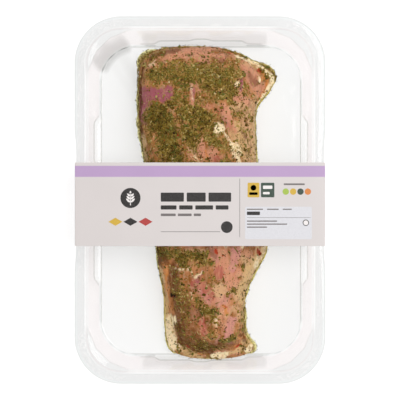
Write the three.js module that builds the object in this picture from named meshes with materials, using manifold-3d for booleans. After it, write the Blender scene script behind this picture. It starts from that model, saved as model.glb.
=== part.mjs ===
// Retail pack of a marinated raw pork tenderloin: a clear thermoformed tray, the clear lidding film sealed
// on its rim, the printed card sleeve round its middle, and the tenderloin that lies on the tray's floor.
//
// Millimetres, +Z up. The origin is at the middle of the pack's footprint, on the surface that it rests on.
// +Y runs along the pack towards the thick end of the meat, and +X to the right when seen from above.

import * as THREE from "three";
import { mergeVertices } from "three/addons/utils/BufferGeometryUtils.js";
import Module from "manifold-3d";

const wasm = await Module();
wasm.setup();

// Driving dimensions of the pack.
const trayHalfWidth = 75.1;
const trayHalfLength = 110;
const trayCornerRadius = 28;
const rimHeight = 45;
const sheet = 0.5; // formed plastic of the tray
const filmThickness = 0.25;
const board = 0.3; // card of the sleeve

// The tray's form, as distances in from its outer edge or heights above the surface it rests on.
const rimWidth = 7.2;
const rimInnerRound = 0.4;
const lipDepth = 1.3;
const lipLean = 0.2;
const lipRound = 0.9;
const floorHeight = board + sheet;
const floorHalfWidth = 62;
const floorHalfLength = 96.2;
const floorCornerRadius = 23;
const floorBorder = 4; // the floor's edge curves up outside this border
const footHeight = 4.5; // where the wall proper begins
const footStepOut = 1.3; // how far the foot of the wall stands outside the flat floor
const footCornerRadius = 24;
const ledgeHeight = 38.5; // a narrow ledge below the rim, wide at the corners, keeps stacked trays apart
const ledgeStep = 0.7;
const ledgeCornerRadius = 29.5;

// Each corner turns by a quarter in this many steps. The walls' corners below the ledge have flat facets,
// two steps wide, where the rim's are round.
const cornerSteps = 8;
const stepAngle = Math.PI / 2 / cornerSteps;

// Shallow panels that bulge out at the foot of each wall and fade towards the rim. Each has a wide part,
// and lobes that stand out further: two on a long wall, one in the middle of a short wall. The places are
// distances from the wall's middle, and a ramp is the width over which a step comes up.
const panelRamp = 5;
const longPanel = { half: 53, depth: 2.6, lobeFrom: 26, lobeTo: 53, lobeDepth: 1.0 };
const shortPanel = { half: 30, depth: 2.1, lobeFrom: 0, lobeTo: 8, lobeDepth: 1.1 };
const footBulge = 0.75; // share of a panel's depth at its curved lowest edge

// The sleeve is tight, and squeezes the tray's lip in along its own length. The squeeze then fades out.
const squeezeDepth = 1.0;
const squeezeFull = 28;
const squeezeEnd = 45;

// The film is cut a little inside the tray's outer edge.
const filmInset = 2.0;

// The sleeve: where it lies along the pack, its slack over the film, its folds and its narrower underside.
const sleeveFront = -27.5;
const sleeveBack = 22.4;
const sleeveSlack = 0.3;
const sleeveHalfTop = 74.9;
const sleeveHalfBottom = 67.2;
const sleeveFoldRadius = 1.0;
const sleeveFoldSteps = 4;

// The tenderloin from above. Each row is a station along the pack: y, the thick body's left and right edges,
// the left and right edges of the whole piece with its thin fringes, and the body's height.
const meatStations = [
  [92, -35, 25, -35, 26, 27],
  [84, -38.3, 34, -38.3, 42, 30.5],
  [77, -38.6, 39, -38.6, 47.2, 32.5],
  [69, -39.2, 38, -39.2, 44.4, 34],
  [60, -40.3, 35.5, -40.3, 37.4, 35],
  [50, -40.6, 34.2, -40.6, 34.4, 35.5],
  [36, -38.4, 34.6, -38.4, 34.8, 36.5],
  [24, -36.6, 35, -36.6, 35.2, 37.5],
  [0, -32.5, 36.5, -32.5, 38.5, 38.5],
  [-30, -27.6, 36.5, -27.8, 42, 37.5],
  [-43, -26.4, 34.2, -27.2, 35.4, 36.5],
  [-56, -22.5, 28.6, -25, 29.2, 35],
  [-70, -19, 27.2, -23, 28, 33],
  [-83, -16, 27.6, -22, 29.6, 30.5],
  [-92, -12.5, 25.5, -20.5, 34.4, 26],
];
const bodyEnds = { thick: 95, thin: -94.5, cap: 17 };
const fringeEnds = { thick: 97, thin: -98.4, cap: 9 };
const bodyEdgeHeight = 10.5; // widest line of the rounded sides, above the tray's floor
const fringeEdgeHeight = 4;
const fringeOverhang = 7; // a fringe this wide has its edge fully down
const fringeRise = 5;
const domeExponent = 2.35; // 2 would be an ellipse
const endExponent = 2.2;
const ridgeShift = -0.08; // the highest line lies left of the middle, as a share of the half width

// Seams between muscles, and the fold over the thin end: a groove of a depth and width along a path.
const seams = [
  { path: [[6, 58], [17, 42], [23, 24], [27, 4]], depth: 3.2, width: 2.6 },
  { path: [[23, 62], [28, 44], [32, 28]], depth: 1.8, width: 2.2 },
  { path: [[-8, 90], [-19, 70], [-24, 48], [-22, 28]], depth: 0.9, width: 4.5 },
  { path: [[-3, -34], [4, -52], [3, -70]], depth: 1.1, width: 4 },
  { path: [[-20, -40], [-18, -58], [-16, -80]], depth: 2.2, width: 2.4 },
];

// Lumps of the surface: sine waves from the longest to the shortest, turned by the golden angle each time.
const lumpWaves = 9;
const lumpLongest = 46;
const lumpShortest = 9;
const lumpHeight = 0.017; // of each wave's length
const lumpPhase = 1.7;
const calmEdge = 9; // lumps and seams come in over this distance from the outline
const goldenAngle = Math.PI * (3 - Math.sqrt(5));

const ringsAlong = 50;
const pointsOver = 25;
const pointsUnder = 9;
const endBunching = 0.3; // 0 spaces the rings evenly, 1 by a cosine

// Rosemary leaves on the top of the meat, the largest ones only.
const leafCount = 120;
const leafLength = [2.2, 4.2];
const leafWidth = 1.2;
const leafThickness = 1.0;
const leafReach = 0.88; // share of the body's half width that carries leaves
const leafSeed = 3609;

const lerp = (a, b, t) => a + (b - a) * t;
const clamp01 = (t) => Math.min(1, Math.max(0, t));
const smoothstep = (a, b, x) => {
  const t = clamp01((x - a) / (b - a));
  return t * t * (3 - 2 * t);
};
// Rises from 0 to 1 as t goes from 0 to 1, steep at first and level at the end, like a rounded corner.
const rounded = (t, exponent) => (1 - (1 - clamp01(t)) ** exponent) ** (1 / exponent);

// A closed surface through rings of equally many points, shut at both ends by a fan to a middle point.
// Rings that run counterclockwise about the direction in which they follow each other face outwards.
function loft(rings, firstMiddle, lastMiddle) {
  const count = rings[0].length;
  const at = (ring, k) => ring * count + (k % count);
  const first = rings.length * count;
  const index = [];
  for (let k = 0; k < count; k++) {
    for (let ring = 0; ring + 1 < rings.length; ring++) {
      index.push(at(ring, k), at(ring, k + 1), at(ring + 1, k + 1));
      index.push(at(ring, k), at(ring + 1, k + 1), at(ring + 1, k));
    }
    index.push(first, at(0, k + 1), at(0, k));
    index.push(first + 1, at(rings.length - 1, k), at(rings.length - 1, k + 1));
  }
  const points = [...rings.flat(), firstMiddle, lastMiddle];
  const geometry = new THREE.BufferGeometry();
  geometry.setAttribute("position", new THREE.Float32BufferAttribute(points.flat(), 3));
  geometry.setIndex(index);
  return geometry;
}

// How far a panel stands out at a distance from its wall's middle.
function panelDepth(panel, distance) {
  const wide = 1 - smoothstep(panel.half - panelRamp, panel.half, distance);
  const rise = panel.lobeFrom > 0 ? smoothstep(panel.lobeFrom - panelRamp, panel.lobeFrom, distance) : 1;
  const fall = 1 - smoothstep(panel.lobeTo - panelRamp, panel.lobeTo, distance);
  return panel.depth * wide + panel.lobeDepth * rise * fall;
}

// Distances along a wall at which its outline needs points: its middle, and each ramp's ends and middle.
function wallPlaces(panel) {
  const ramps = [panel.lobeFrom, panel.lobeTo, panel.half].filter((end) => end > 0);
  const oneHalf = new Set(ramps.flatMap((end) => [end - panelRamp, end - panelRamp / 2, end]));
  const sorted = [...oneHalf].sort((a, b) => a - b);
  return [...sorted.map((place) => -place).reverse(), 0, ...sorted];
}

// One level of the tray's middle surface: a rounded rectangle, counterclockwise from above. Its panels stand
// out by the share bulge of their depth, its long sides are squeezed in by the share squeeze, and faceted
// corners follow the tangents at every second step instead of the arc.
function trayRing({ z, halfWidth, halfLength, radius, bulge = 0, squeeze = 0, faceted = false }) {
  const sides = [
    { panel: longPanel, reach: halfWidth, squeezed: squeeze, cornerX: 1, cornerY: 1 },
    { panel: shortPanel, reach: halfLength, squeezed: 0, cornerX: -1, cornerY: 1 },
    { panel: longPanel, reach: halfWidth, squeezed: squeeze, cornerX: -1, cornerY: -1 },
    { panel: shortPanel, reach: halfLength, squeezed: 0, cornerX: 1, cornerY: -1 },
  ];
  return sides.flatMap(({ panel, reach, squeezed, cornerX, cornerY }, side) => {
    const turned = (side * Math.PI) / 2;
    const [outX, outY] = [Math.cos(turned), Math.sin(turned)];
    const wall = wallPlaces(panel).map((place) => {
      const distance = Math.abs(place);
      const inwards = squeezed * squeezeDepth * (1 - smoothstep(squeezeFull, squeezeEnd, distance));
      const out = reach + bulge * panelDepth(panel, distance) - inwards;
      return new THREE.Vector3(outX * out - outY * place, outY * out + outX * place, z);
    });
    const corner = Array.from({ length: cornerSteps + 1 }, (_, step) => {
      const angle = turned + step * stepAngle;
      const reached = faceted && step % 2 === 1 ? radius / Math.cos(stepAngle) : radius;
      const x = cornerX * (halfWidth - radius) + reached * Math.cos(angle);
      const y = cornerY * (halfLength - radius) + reached * Math.sin(angle);
      return new THREE.Vector3(x, y, z);
    });
    return [...wall, ...corner];
  });
}

// The tray's middle surface, level by level: floor, foot, wall with its panels, ledge, rim and lip.
function trayLevels() {
  const floorMiddle = floorHeight - sheet / 2;
  const rimMiddle = rimHeight - sheet / 2;
  const inFrom = (distance) => ({
    halfWidth: trayHalfWidth - distance,
    halfLength: trayHalfLength - distance,
    radius: trayCornerRadius - distance,
  });
  const onFloor = (out) => ({
    halfWidth: floorHalfWidth + out,
    halfLength: floorHalfLength + out,
    radius: floorCornerRadius + out,
  });
  const onWall = (z, out = 0) => {
    const share = clamp01((z - footHeight) / (ledgeHeight - footHeight));
    const topInset = rimWidth + ledgeStep;
    return {
      z,
      halfWidth: lerp(floorHalfWidth + footStepOut, trayHalfWidth - topInset, share) + out,
      halfLength: lerp(floorHalfLength + footStepOut, trayHalfLength - topInset, share) + out,
      radius: lerp(footCornerRadius, ledgeCornerRadius, share) + out,
      bulge: 1 - share,
      faceted: true,
    };
  };
  return [
    { z: floorMiddle, ...onFloor(-floorBorder) },
    { z: floorMiddle, ...onFloor(0) },
    { ...onWall(lerp(floorMiddle, footHeight, 0.3), -0.35 * footStepOut), bulge: footBulge },
    onWall(footHeight),
    onWall((footHeight + ledgeHeight) / 2),
    onWall(ledgeHeight),
    { z: ledgeHeight + ledgeStep, ...inFrom(rimWidth) },
    { z: rimMiddle - 2 * rimInnerRound, ...inFrom(rimWidth) },
    { z: rimMiddle, ...inFrom(rimWidth - 2 * rimInnerRound) },
    { z: rimMiddle, ...inFrom(sheet / 2 + lipRound), squeeze: 1 },
    { z: rimMiddle - lipRound / 2, ...inFrom(sheet / 2 + lipLean), squeeze: 1 },
    { z: rimHeight - lipDepth, ...inFrom(sheet / 2), squeeze: 1 },
  ];
}

// The sheet is equally thick all over, so each face of it lies half the sheet off the middle surface, along
// the cross product of the directions round and up that surface.
function trayGeometry() {
  const rings = trayLevels().map(trayRing);
  const count = rings[0].length;
  const face = (side) =>
    rings.map((ring, i) =>
      ring.map((point, k) => {
        const round = ring[(k + 1) % count].clone().sub(ring[(k + count - 1) % count]);
        const up = rings[Math.min(i + 1, rings.length - 1)][k].clone().sub(rings[Math.max(i - 1, 0)][k]);
        const out = round.cross(up).setLength((side * sheet) / 2);
        return point.clone().add(out).toArray();
      }),
    );
  return loft([...face(1), ...face(-1).reverse()], [0, 0, board], [0, 0, floorHeight]);
}

function filmGeometry() {
  const [halfWidth, halfLength] = [trayHalfWidth - filmInset, trayHalfLength - filmInset];
  const radius = trayCornerRadius - filmInset;
  const shape = new THREE.Shape();
  shape.moveTo(halfWidth, radius - halfLength);
  shape.absarc(halfWidth - radius, halfLength - radius, radius, 0, 0.5 * Math.PI);
  shape.absarc(radius - halfWidth, halfLength - radius, radius, 0.5 * Math.PI, Math.PI);
  shape.absarc(radius - halfWidth, radius - halfLength, radius, Math.PI, 1.5 * Math.PI);
  shape.absarc(halfWidth - radius, radius - halfLength, radius, 1.5 * Math.PI, 2 * Math.PI);
  return new THREE.ExtrudeGeometry(shape, {
    depth: filmThickness,
    bevelEnabled: false,
    curveSegments: cornerSteps,
  });
}

// The sleeve's section across the pack is a trapezium with rounded folds, wider at the rim than below.
function sleeveOutline(inset) {
  const top = rimHeight + filmThickness + sleeveSlack + board - inset;
  const corners = [
    new THREE.Vector2(inset - sleeveHalfTop, top),
    new THREE.Vector2(inset - sleeveHalfBottom, inset),
    new THREE.Vector2(sleeveHalfBottom - inset, inset),
    new THREE.Vector2(sleeveHalfTop - inset, top),
  ];
  const radius = sleeveFoldRadius - inset / 2;
  return corners.flatMap((corner, i) => {
    const towards = (other) => other.clone().sub(corner).setLength(radius).add(corner);
    const start = towards(corners[(i + 3) % 4]);
    const end = towards(corners[(i + 1) % 4]);
    return new THREE.QuadraticBezierCurve(start, corner, end).getPoints(sleeveFoldSteps);
  });
}

// The section is drawn in X and Y and pulled along Z, so it is turned to stand across the pack.
function sleeveGeometry() {
  const shape = new THREE.Shape(sleeveOutline(0));
  shape.holes.push(new THREE.Path(sleeveOutline(board)));
  const depth = sleeveBack - sleeveFront;
  return new THREE.ExtrudeGeometry(shape, { depth, bevelEnabled: false }).rotateX(Math.PI / 2);
}

// The stations' values at any y: a cubic between two rows, with slopes taken from the rows on either side.
function stationAt(y) {
  const rows = meatStations;
  const last = rows.length - 1;
  const inRange = Math.min(rows[0][0], Math.max(rows[last][0], y));
  const i = Math.min(
    last - 1,
    rows.findLastIndex((row) => row[0] >= inRange),
  );
  const [a, b] = [rows[i], rows[i + 1]];
  const [before, after] = [rows[Math.max(i - 1, 0)], rows[Math.min(i + 2, last)]];
  const span = b[0] - a[0];
  const t = (inRange - a[0]) / span;
  const [, bodyLeft, bodyRight, left, right, height] = a.map((_, column) => {
    const startSlope = ((b[column] - before[column]) / (b[0] - before[0])) * span;
    const endSlope = ((after[column] - a[column]) / (after[0] - a[0])) * span;
    return (
      lerp(a[column], b[column], t * t * (3 - 2 * t)) +
      startSlope * t * (1 - t) ** 2 -
      endSlope * t * t * (1 - t)
    );
  });
  return { bodyLeft, bodyRight, left, right, height };
}

// How full the meat is near its ends: 1 in the middle, and 0 at the end, with a round shoulder.
const endShare = (ends, y) => rounded(Math.min(ends.thick - y, y - ends.thin) / ends.cap, endExponent);

const drawnTogether = (left, right, share) => {
  const middle = (left + right) / 2;
  return [lerp(middle, left, share), lerp(middle, right, share)];
};

// The height share of a dome between two edges, with its highest line moved sideways by a shift.
function domeShare(x, [left, right], shift) {
  const s = (2 * x - left - right) / (right - left);
  return rounded(1 - Math.abs(s - shift * (1 - s * s)), domeExponent);
}

function distanceToPath(x, y, path) {
  const distances = path.slice(1).map(([bx, by], i) => {
    const [ax, ay] = path[i];
    const t = clamp01(((x - ax) * (bx - ax) + (y - ay) * (by - ay)) / ((bx - ax) ** 2 + (by - ay) ** 2));
    return Math.hypot(x - lerp(ax, bx, t), y - lerp(ay, by, t));
  });
  return Math.min(...distances);
}

function lumps(x, y) {
  let sum = 0;
  for (let i = 0; i < lumpWaves; i++) {
    const length = lumpLongest * (lumpShortest / lumpLongest) ** (i / (lumpWaves - 1));
    const along = x * Math.cos(i * goldenAngle) + y * Math.sin(i * goldenAngle);
    sum += lumpHeight * length * Math.sin((2 * Math.PI * along) / length + lumpPhase * i);
  }
  return sum;
}

// Everything about the meat at one y that its heights need.
function meatSlice(y) {
  const { bodyLeft, bodyRight, left, right, height } = stationAt(y);
  const overhang = (distance) => clamp01(distance / fringeOverhang);
  const bodyShare = endShare(bodyEnds, y);
  const fringeShare = endShare(fringeEnds, y);
  return {
    y,
    edges: drawnTogether(left, right, fringeShare),
    edgeHeights: [
      lerp(bodyEdgeHeight, fringeEdgeHeight, overhang(bodyLeft - left)),
      lerp(bodyEdgeHeight, fringeEdgeHeight, overhang(right - bodyRight)),
    ],
    bodyEdges: drawnTogether(bodyLeft, bodyRight, lerp(fringeShare, bodyShare, 0.5)),
    bodyRise: (height - bodyEdgeHeight) * bodyShare,
    fringeRise: fringeRise * fringeShare,
    toEnd: Math.min(fringeEnds.thick - y, y - fringeEnds.thin),
  };
}

// The heights above the tray's floor of the meat's top and underside at x in one slice.
function meatHeights(slice, x) {
  const [left, right] = slice.edges;
  const across = clamp01((x - left) / (right - left));
  const edgeHeight = lerp(...slice.edgeHeights, across);
  const inside = Math.max(0, Math.min(x - left, right - x, slice.toEnd));
  const body = slice.bodyRise * domeShare(x, slice.bodyEdges, ridgeShift);
  const fringe = slice.fringeRise * domeShare(x, slice.edges, 0);
  const groove = seams.reduce(
    (sum, { path, depth, width }) => sum + depth * Math.exp(-((distanceToPath(x, slice.y, path) / width) ** 2)),
    0,
  );
  const relief = smoothstep(0, calmEdge, inside) * (lumps(x, slice.y) - groove);
  return {
    top: edgeHeight + Math.hypot(body, fringe) + relief,
    under: edgeHeight * (1 - rounded(inside / edgeHeight, 2)),
  };
}

// Rings across the meat from the thin end to the thick one. Each goes over the top from its left edge to its
// right edge, and back along the underside, with its points closest together at the edges.
function meatGeometry() {
  const rings = [];
  for (let ring = 1; ring < ringsAlong; ring++) {
    const even = ring / ringsAlong;
    const bunched = (1 - Math.cos(Math.PI * even)) / 2;
    const y = lerp(fringeEnds.thin, fringeEnds.thick, lerp(even, bunched, endBunching));
    const slice = meatSlice(y);
    const pointAt = (share, side) => {
      const x = lerp(...slice.edges, (1 - Math.cos(Math.PI * share)) / 2);
      return [x, y, floorHeight + meatHeights(slice, x)[side]];
    };
    const over = Array.from({ length: pointsOver }, (_, k) => pointAt(k / pointsOver, "top"));
    const under = Array.from({ length: pointsUnder }, (_, k) => pointAt(1 - k / pointsUnder, "under"));
    rings.push([...over, ...under]);
  }
  const tip = (y) => {
    const { edges, edgeHeights } = meatSlice(y);
    return [lerp(...edges, 0.5), y, floorHeight + lerp(...edgeHeights, 0.5)];
  };
  return loft(rings, tip(fringeEnds.thin), tip(fringeEnds.thick));
}

// Random numbers from 0 to 1 that come out the same each time.
function seededRandom(seed) {
  let state = seed;
  return () => {
    state = (state * 1664525 + 1013904223) % 2 ** 32;
    return state / 2 ** 32;
  };
}

// A rosemary leaf: a four-sided spindle with blunt ends, half sunk where it lies on the meat.
function leafGeometry(length) {
  const profile = [
    new THREE.Vector2(0, -length / 2),
    new THREE.Vector2(leafWidth / 2, -length / 4),
    new THREE.Vector2(leafWidth / 2, length / 4),
    new THREE.Vector2(0, length / 2),
  ];
  return new THREE.LatheGeometry(profile, 4).scale(1, 1, leafThickness / leafWidth);
}

function asSolid(geometry) {
  geometry.deleteAttribute("normal");
  geometry.deleteAttribute("uv");
  const { attributes, index } = mergeVertices(geometry, 1e-4);
  const vertProperties = attributes.position.array;
  const triVerts = new Uint32Array(index.array);
  return new wasm.Manifold(new wasm.Mesh({ numProp: 3, vertProperties, triVerts }));
}

function asGeometry(solid) {
  const { vertProperties, numProp, triVerts } = solid.getMesh();
  const geometry = new THREE.BufferGeometry();
  geometry.setAttribute("position", new THREE.BufferAttribute(vertProperties, numProp));
  geometry.setIndex(new THREE.BufferAttribute(triVerts, 1));
  geometry.computeVertexNormals();
  return geometry;
}

// The meat with its largest leaves fused on. They lie along the surface, turned any way.
function tenderloinGeometry() {
  const random = seededRandom(leafSeed);
  const up = new THREE.Vector3(0, 0, 1);
  let solid = asSolid(meatGeometry());
  for (let leaf = 0; leaf < leafCount; leaf++) {
    const y = lerp(bodyEnds.thick, bodyEnds.thin, lerp(0.05, 0.95, (leaf + random()) / leafCount));
    const { bodyLeft, bodyRight } = stationAt(y);
    const x = lerp(bodyLeft, bodyRight, (1 + leafReach * lerp(-1, 1, random())) / 2);
    const topAt = (dx, dy) => meatHeights(meatSlice(y + dy), x + dx).top;
    const normal = new THREE.Vector3(topAt(-1, 0) - topAt(1, 0), topAt(0, -1) - topAt(0, 1), 2).normalize();
    const heading = new THREE.Quaternion().setFromAxisAngle(up, Math.PI * random());
    const turn = new THREE.Quaternion().setFromUnitVectors(up, normal).multiply(heading);
    const place = new THREE.Vector3(x, y, floorHeight + topAt(0, 0));
    const placed = new THREE.Matrix4().compose(place, turn, new THREE.Vector3(1, 1, 1));
    solid = solid.add(asSolid(leafGeometry(lerp(...leafLength, random())).applyMatrix4(placed)));
  }
  return asGeometry(solid);
}

function part(name, geometry, material) {
  const mesh = new THREE.Mesh(geometry, new THREE.MeshStandardMaterial(material));
  mesh.name = name;
  return mesh;
}

const clear = { transparent: true, metalness: 0 };
const tray = part("tray", trayGeometry(), { ...clear, color: 0xf2f1ef, roughness: 0.08, opacity: 0.3 });
const film = part("lidding_film", filmGeometry(), { ...clear, color: 0xf7f7f6, roughness: 0.05, opacity: 0.15 });
film.position.z = rimHeight;
const sleeve = part("card_sleeve", sleeveGeometry(), { color: 0xe2dad7, roughness: 0.55, metalness: 0 });
sleeve.position.y = sleeveBack;
const tenderloin = part("tenderloin", tenderloinGeometry(), { color: 0xa8765a, roughness: 0.35, metalness: 0 });

const pack = new THREE.Group();
pack.add(tray, film, sleeve, tenderloin);

export default pack;
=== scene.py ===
"""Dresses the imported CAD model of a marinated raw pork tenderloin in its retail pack.

The pack is a clear formed tray, the clear film sealed on its rim, a card sleeve with printed fields of
colour, and the meat with its herb marinade. Every piece stands for the CAD solid of the same thing, and
repeats its form from the same dimensions.

Shapes are worked out in millimetres, +Z up, with the origin under the middle of the pack, and become metres
when they are put into a mesh. +Y runs towards the thick end of the meat.
"""

from functools import partial

import bpy
import numpy as np
from bpy.props import FloatProperty, FloatVectorProperty, IntProperty, PointerProperty
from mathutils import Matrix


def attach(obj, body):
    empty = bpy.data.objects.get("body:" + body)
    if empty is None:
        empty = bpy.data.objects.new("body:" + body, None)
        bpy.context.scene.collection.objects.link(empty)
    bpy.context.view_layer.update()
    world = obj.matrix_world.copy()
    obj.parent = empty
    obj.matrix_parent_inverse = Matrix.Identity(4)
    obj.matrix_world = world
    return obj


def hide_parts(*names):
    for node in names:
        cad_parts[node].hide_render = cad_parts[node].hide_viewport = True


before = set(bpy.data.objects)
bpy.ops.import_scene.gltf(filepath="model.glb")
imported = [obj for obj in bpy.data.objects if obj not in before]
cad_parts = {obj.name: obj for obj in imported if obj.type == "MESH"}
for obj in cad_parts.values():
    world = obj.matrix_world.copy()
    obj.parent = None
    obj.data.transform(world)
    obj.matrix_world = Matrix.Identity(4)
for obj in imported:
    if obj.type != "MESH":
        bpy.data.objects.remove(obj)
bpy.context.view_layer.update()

bl_info = {
    "name": "Marinated tenderloin pack",
    "version": (1, 0, 0),
    "blender": (4, 5, 0),
    "location": "3D View > Sidebar > Tenderloin pack",
    "description": "Builds a marinated pork tenderloin in a clear tray with film and a card sleeve",
    "category": "Object",
}

MM = 0.001


def linear(hex_colour):
    """The linear RGBA values of an sRGB colour such as "#C0896D"."""
    srgb = np.array([int(hex_colour[i : i + 2], 16) for i in (1, 3, 5)]) / 255
    values = np.where(srgb <= 0.04045, srgb / 12.92, ((srgb + 0.055) / 1.055) ** 2.4)
    return (*values.tolist(), 1.0)


# Tray, as in the CAD source: distances in from the outer edge, or heights above the surface it rests on.
TRAY_HALF_WIDTH = 75.1
TRAY_HALF_LENGTH = 110
TRAY_CORNER_RADIUS = 28
RIM_HEIGHT = 45
SHEET = 0.5
BOARD = 0.3
RIM_WIDTH = 7.2
RIM_INNER_ROUND = 0.4
LIP_DEPTH = 1.3
LIP_LEAN = 0.2
LIP_ROUND = 0.9
FLOOR_HEIGHT = BOARD + SHEET
FLOOR_HALF_WIDTH = 62.5
FLOOR_HALF_LENGTH = 96.2
FLOOR_CORNER_RADIUS = 23
FLOOR_BORDER = 4
FOOT_HEIGHT = 4.5
FOOT_STEP_OUT = 1.3
FOOT_CORNER_RADIUS = 24
LEDGE_HEIGHT = 38.5
LEDGE_STEP = 0.7
LEDGE_CORNER_RADIUS = 29.5
FACET_ANGLE = np.pi / 8
PANEL_RAMP = 5
LONG_PANEL = {"half": 53, "depth": 1.9, "lobe_from": 26, "lobe_to": 53, "lobe_depth": 1.0}
SHORT_PANEL = {"half": 30, "depth": 2.1, "lobe_from": 0, "lobe_to": 8, "lobe_depth": 1.1}
FOOT_BULGE = 0.75
SQUEEZE_DEPTH = 1.0
SQUEEZE_FULL = 28
SQUEEZE_END = 45

# Where the foot's fold shows dark under a panel: on the long sides where x is more than y less this much, and
# on the short sides beyond this y, a little wider than the panel itself.
LONG_PANEL_BESIDE = 40
SHORT_PANEL_BEYOND = 80
SHORT_PANEL_MARGIN = 8

# Rows of the tray's profile that make its lip, and the longest step between two rows.
LIP_ROWS = 13
LONGEST_STEP = 4

# Points along the tray's long and short sides and round each corner, and where the corners begin.
LONG_STEPS = 96
SHORT_STEPS = 60
CORNER_STEPS = 32
CORNER_FROM = {"x": 38, "y": 72, "blend": 10}

# Film, and the share of its outline's size at which the tray's opening begins.
FILM_INSET = 2.0
FILM_THICKNESS = 0.25
FILM_RINGS = 41
FILM_OPENING = 0.90
SEAL_HEIGHT = 0.04

# Sleeve, as in the CAD source.
SLEEVE_FRONT = -27.5
SLEEVE_BACK = 22.4
SLEEVE_SLACK = 0.3
SLEEVE_HALF_TOP = 74.9
SLEEVE_HALF_BOTTOM = 67.2
SLEEVE_FOLD_RADIUS = 1.0
SLEEVE_TOP = RIM_HEIGHT + FILM_THICKNESS + SLEEVE_SLACK + BOARD

# Points round each fold of the sleeve, between two folds, and from its front edge to its back one.
FOLD_POINTS = 9
POINTS_BETWEEN_FOLDS = 29
POINTS_ALONG_SLEEVE = 13

# Meat, as in the CAD source, but drawn in by a millimetre or two where oil makes the edge, and with a sharper
# start of the flap at the thick end. Each row is y, the thick body's left and right edges, the whole piece's
# left and right edges with its thin fringes, and the body's height.
MEAT_STATIONS = np.array(
    [
        [92, -36, 25.4, -36, 26.4, 27],
        [87, -37.8, 29.8, -37.8, 31, 29],
        [83.5, -38.2, 33.2, -38.2, 41.6, 30.7],
        [77, -38.4, 38.7, -38.4, 46.6, 32.5],
        [69, -38.3, 37.7, -38.3, 43, 34],
        [60, -38.1, 34.7, -38.1, 35.6, 35],
        [50, -38.3, 33.6, -38.3, 33.7, 35.5],
        [36, -36.2, 34, -36.2, 34.1, 36.5],
        [24, -34.2, 34.4, -34.2, 34.5, 37.5],
        [0, -31.5, 36.5, -31.5, 38.5, 38.5],
        [-30, -27.2, 36.2, -27, 40.8, 37.5],
        [-43, -25.2, 33.6, -25.6, 34.4, 36.5],
        [-56, -21.7, 27.9, -23.3, 28.6, 35],
        [-70, -18.5, 26.7, -22.3, 27.2, 33],
        [-83, -15.6, 26.9, -21.6, 28.2, 30.5],
        [-92, -12.3, 25.2, -19.8, 34.1, 26],
    ]
)
BODY_ENDS = {"thick": 94.3, "thin": -94.6, "cap": 17}
FRINGE_ENDS = {"thick": 95.5, "thin": -98.7, "cap": 9}
BODY_EDGE_HEIGHT = 10.5
FRINGE_EDGE_HEIGHT = 4
FRINGE_OVERHANG = 7
FRINGE_RISE = 5
DOME_EXPONENT = 2.35
END_EXPONENT = 2.2
RIDGE_SHIFT = -0.08
SEAMS = [
    ([(6, 58), (17, 42), (23, 24), (27, 4)], 3.2, 2.6), ([(23, 62), (28, 44), (32, 28)], 1.8, 2.2),
    ([(-8, 90), (-19, 70), (-24, 48), (-22, 28)], 0.9, 4.5), ([(-3, -34), (4, -52), (3, -70)], 1.1, 4),
    ([(-20, -40), (-18, -58), (-16, -80)], 2.2, 2.4),
]
LUMP_WAVES = 9
LUMP_LONGEST = 46
LUMP_SHORTEST = 9
LUMP_HEIGHT = 0.017
LUMP_PHASE = 1.7
CALM_EDGE = 9
GOLDEN_ANGLE = np.pi * (3 - np.sqrt(5))

# How finely the meat is meshed: rings in each rounded end and between them, and points over and under it.
CAP_LENGTH = 10
CAP_RINGS = 42
MIDDLE_RINGS = 276
POINTS_OVER = 200
POINTS_UNDER = 70

# The oil's outline, the box that holds it and its specks on the floor, and the studio's floor in metres.
OIL_STEPS = 900
OIL_SMOOTHING = 4
OIL_LIMIT = np.array((61.5, 95.6))
SPECK_LIMIT = np.array((61, 95.2))
STUDIO_RINGS = (0.3, 2, 12)
STUDIO_SIDES = 96

# Tones of dried herb from dark to light, on the meat and soaked in the oil.
DRIED_HERB = ((0.0, "#34230A"), (0.25, "#604A16"), (0.5, "#87702C"), (0.75, "#AC944C"), (1.0, "#D8C486"))
SOAKED_HERB = ((0.0, "#2F280E"), (0.25, "#4C4017"), (0.5, "#6E5C25"), (0.75, "#927B40"), (1.0, "#BBA365"))

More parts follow.
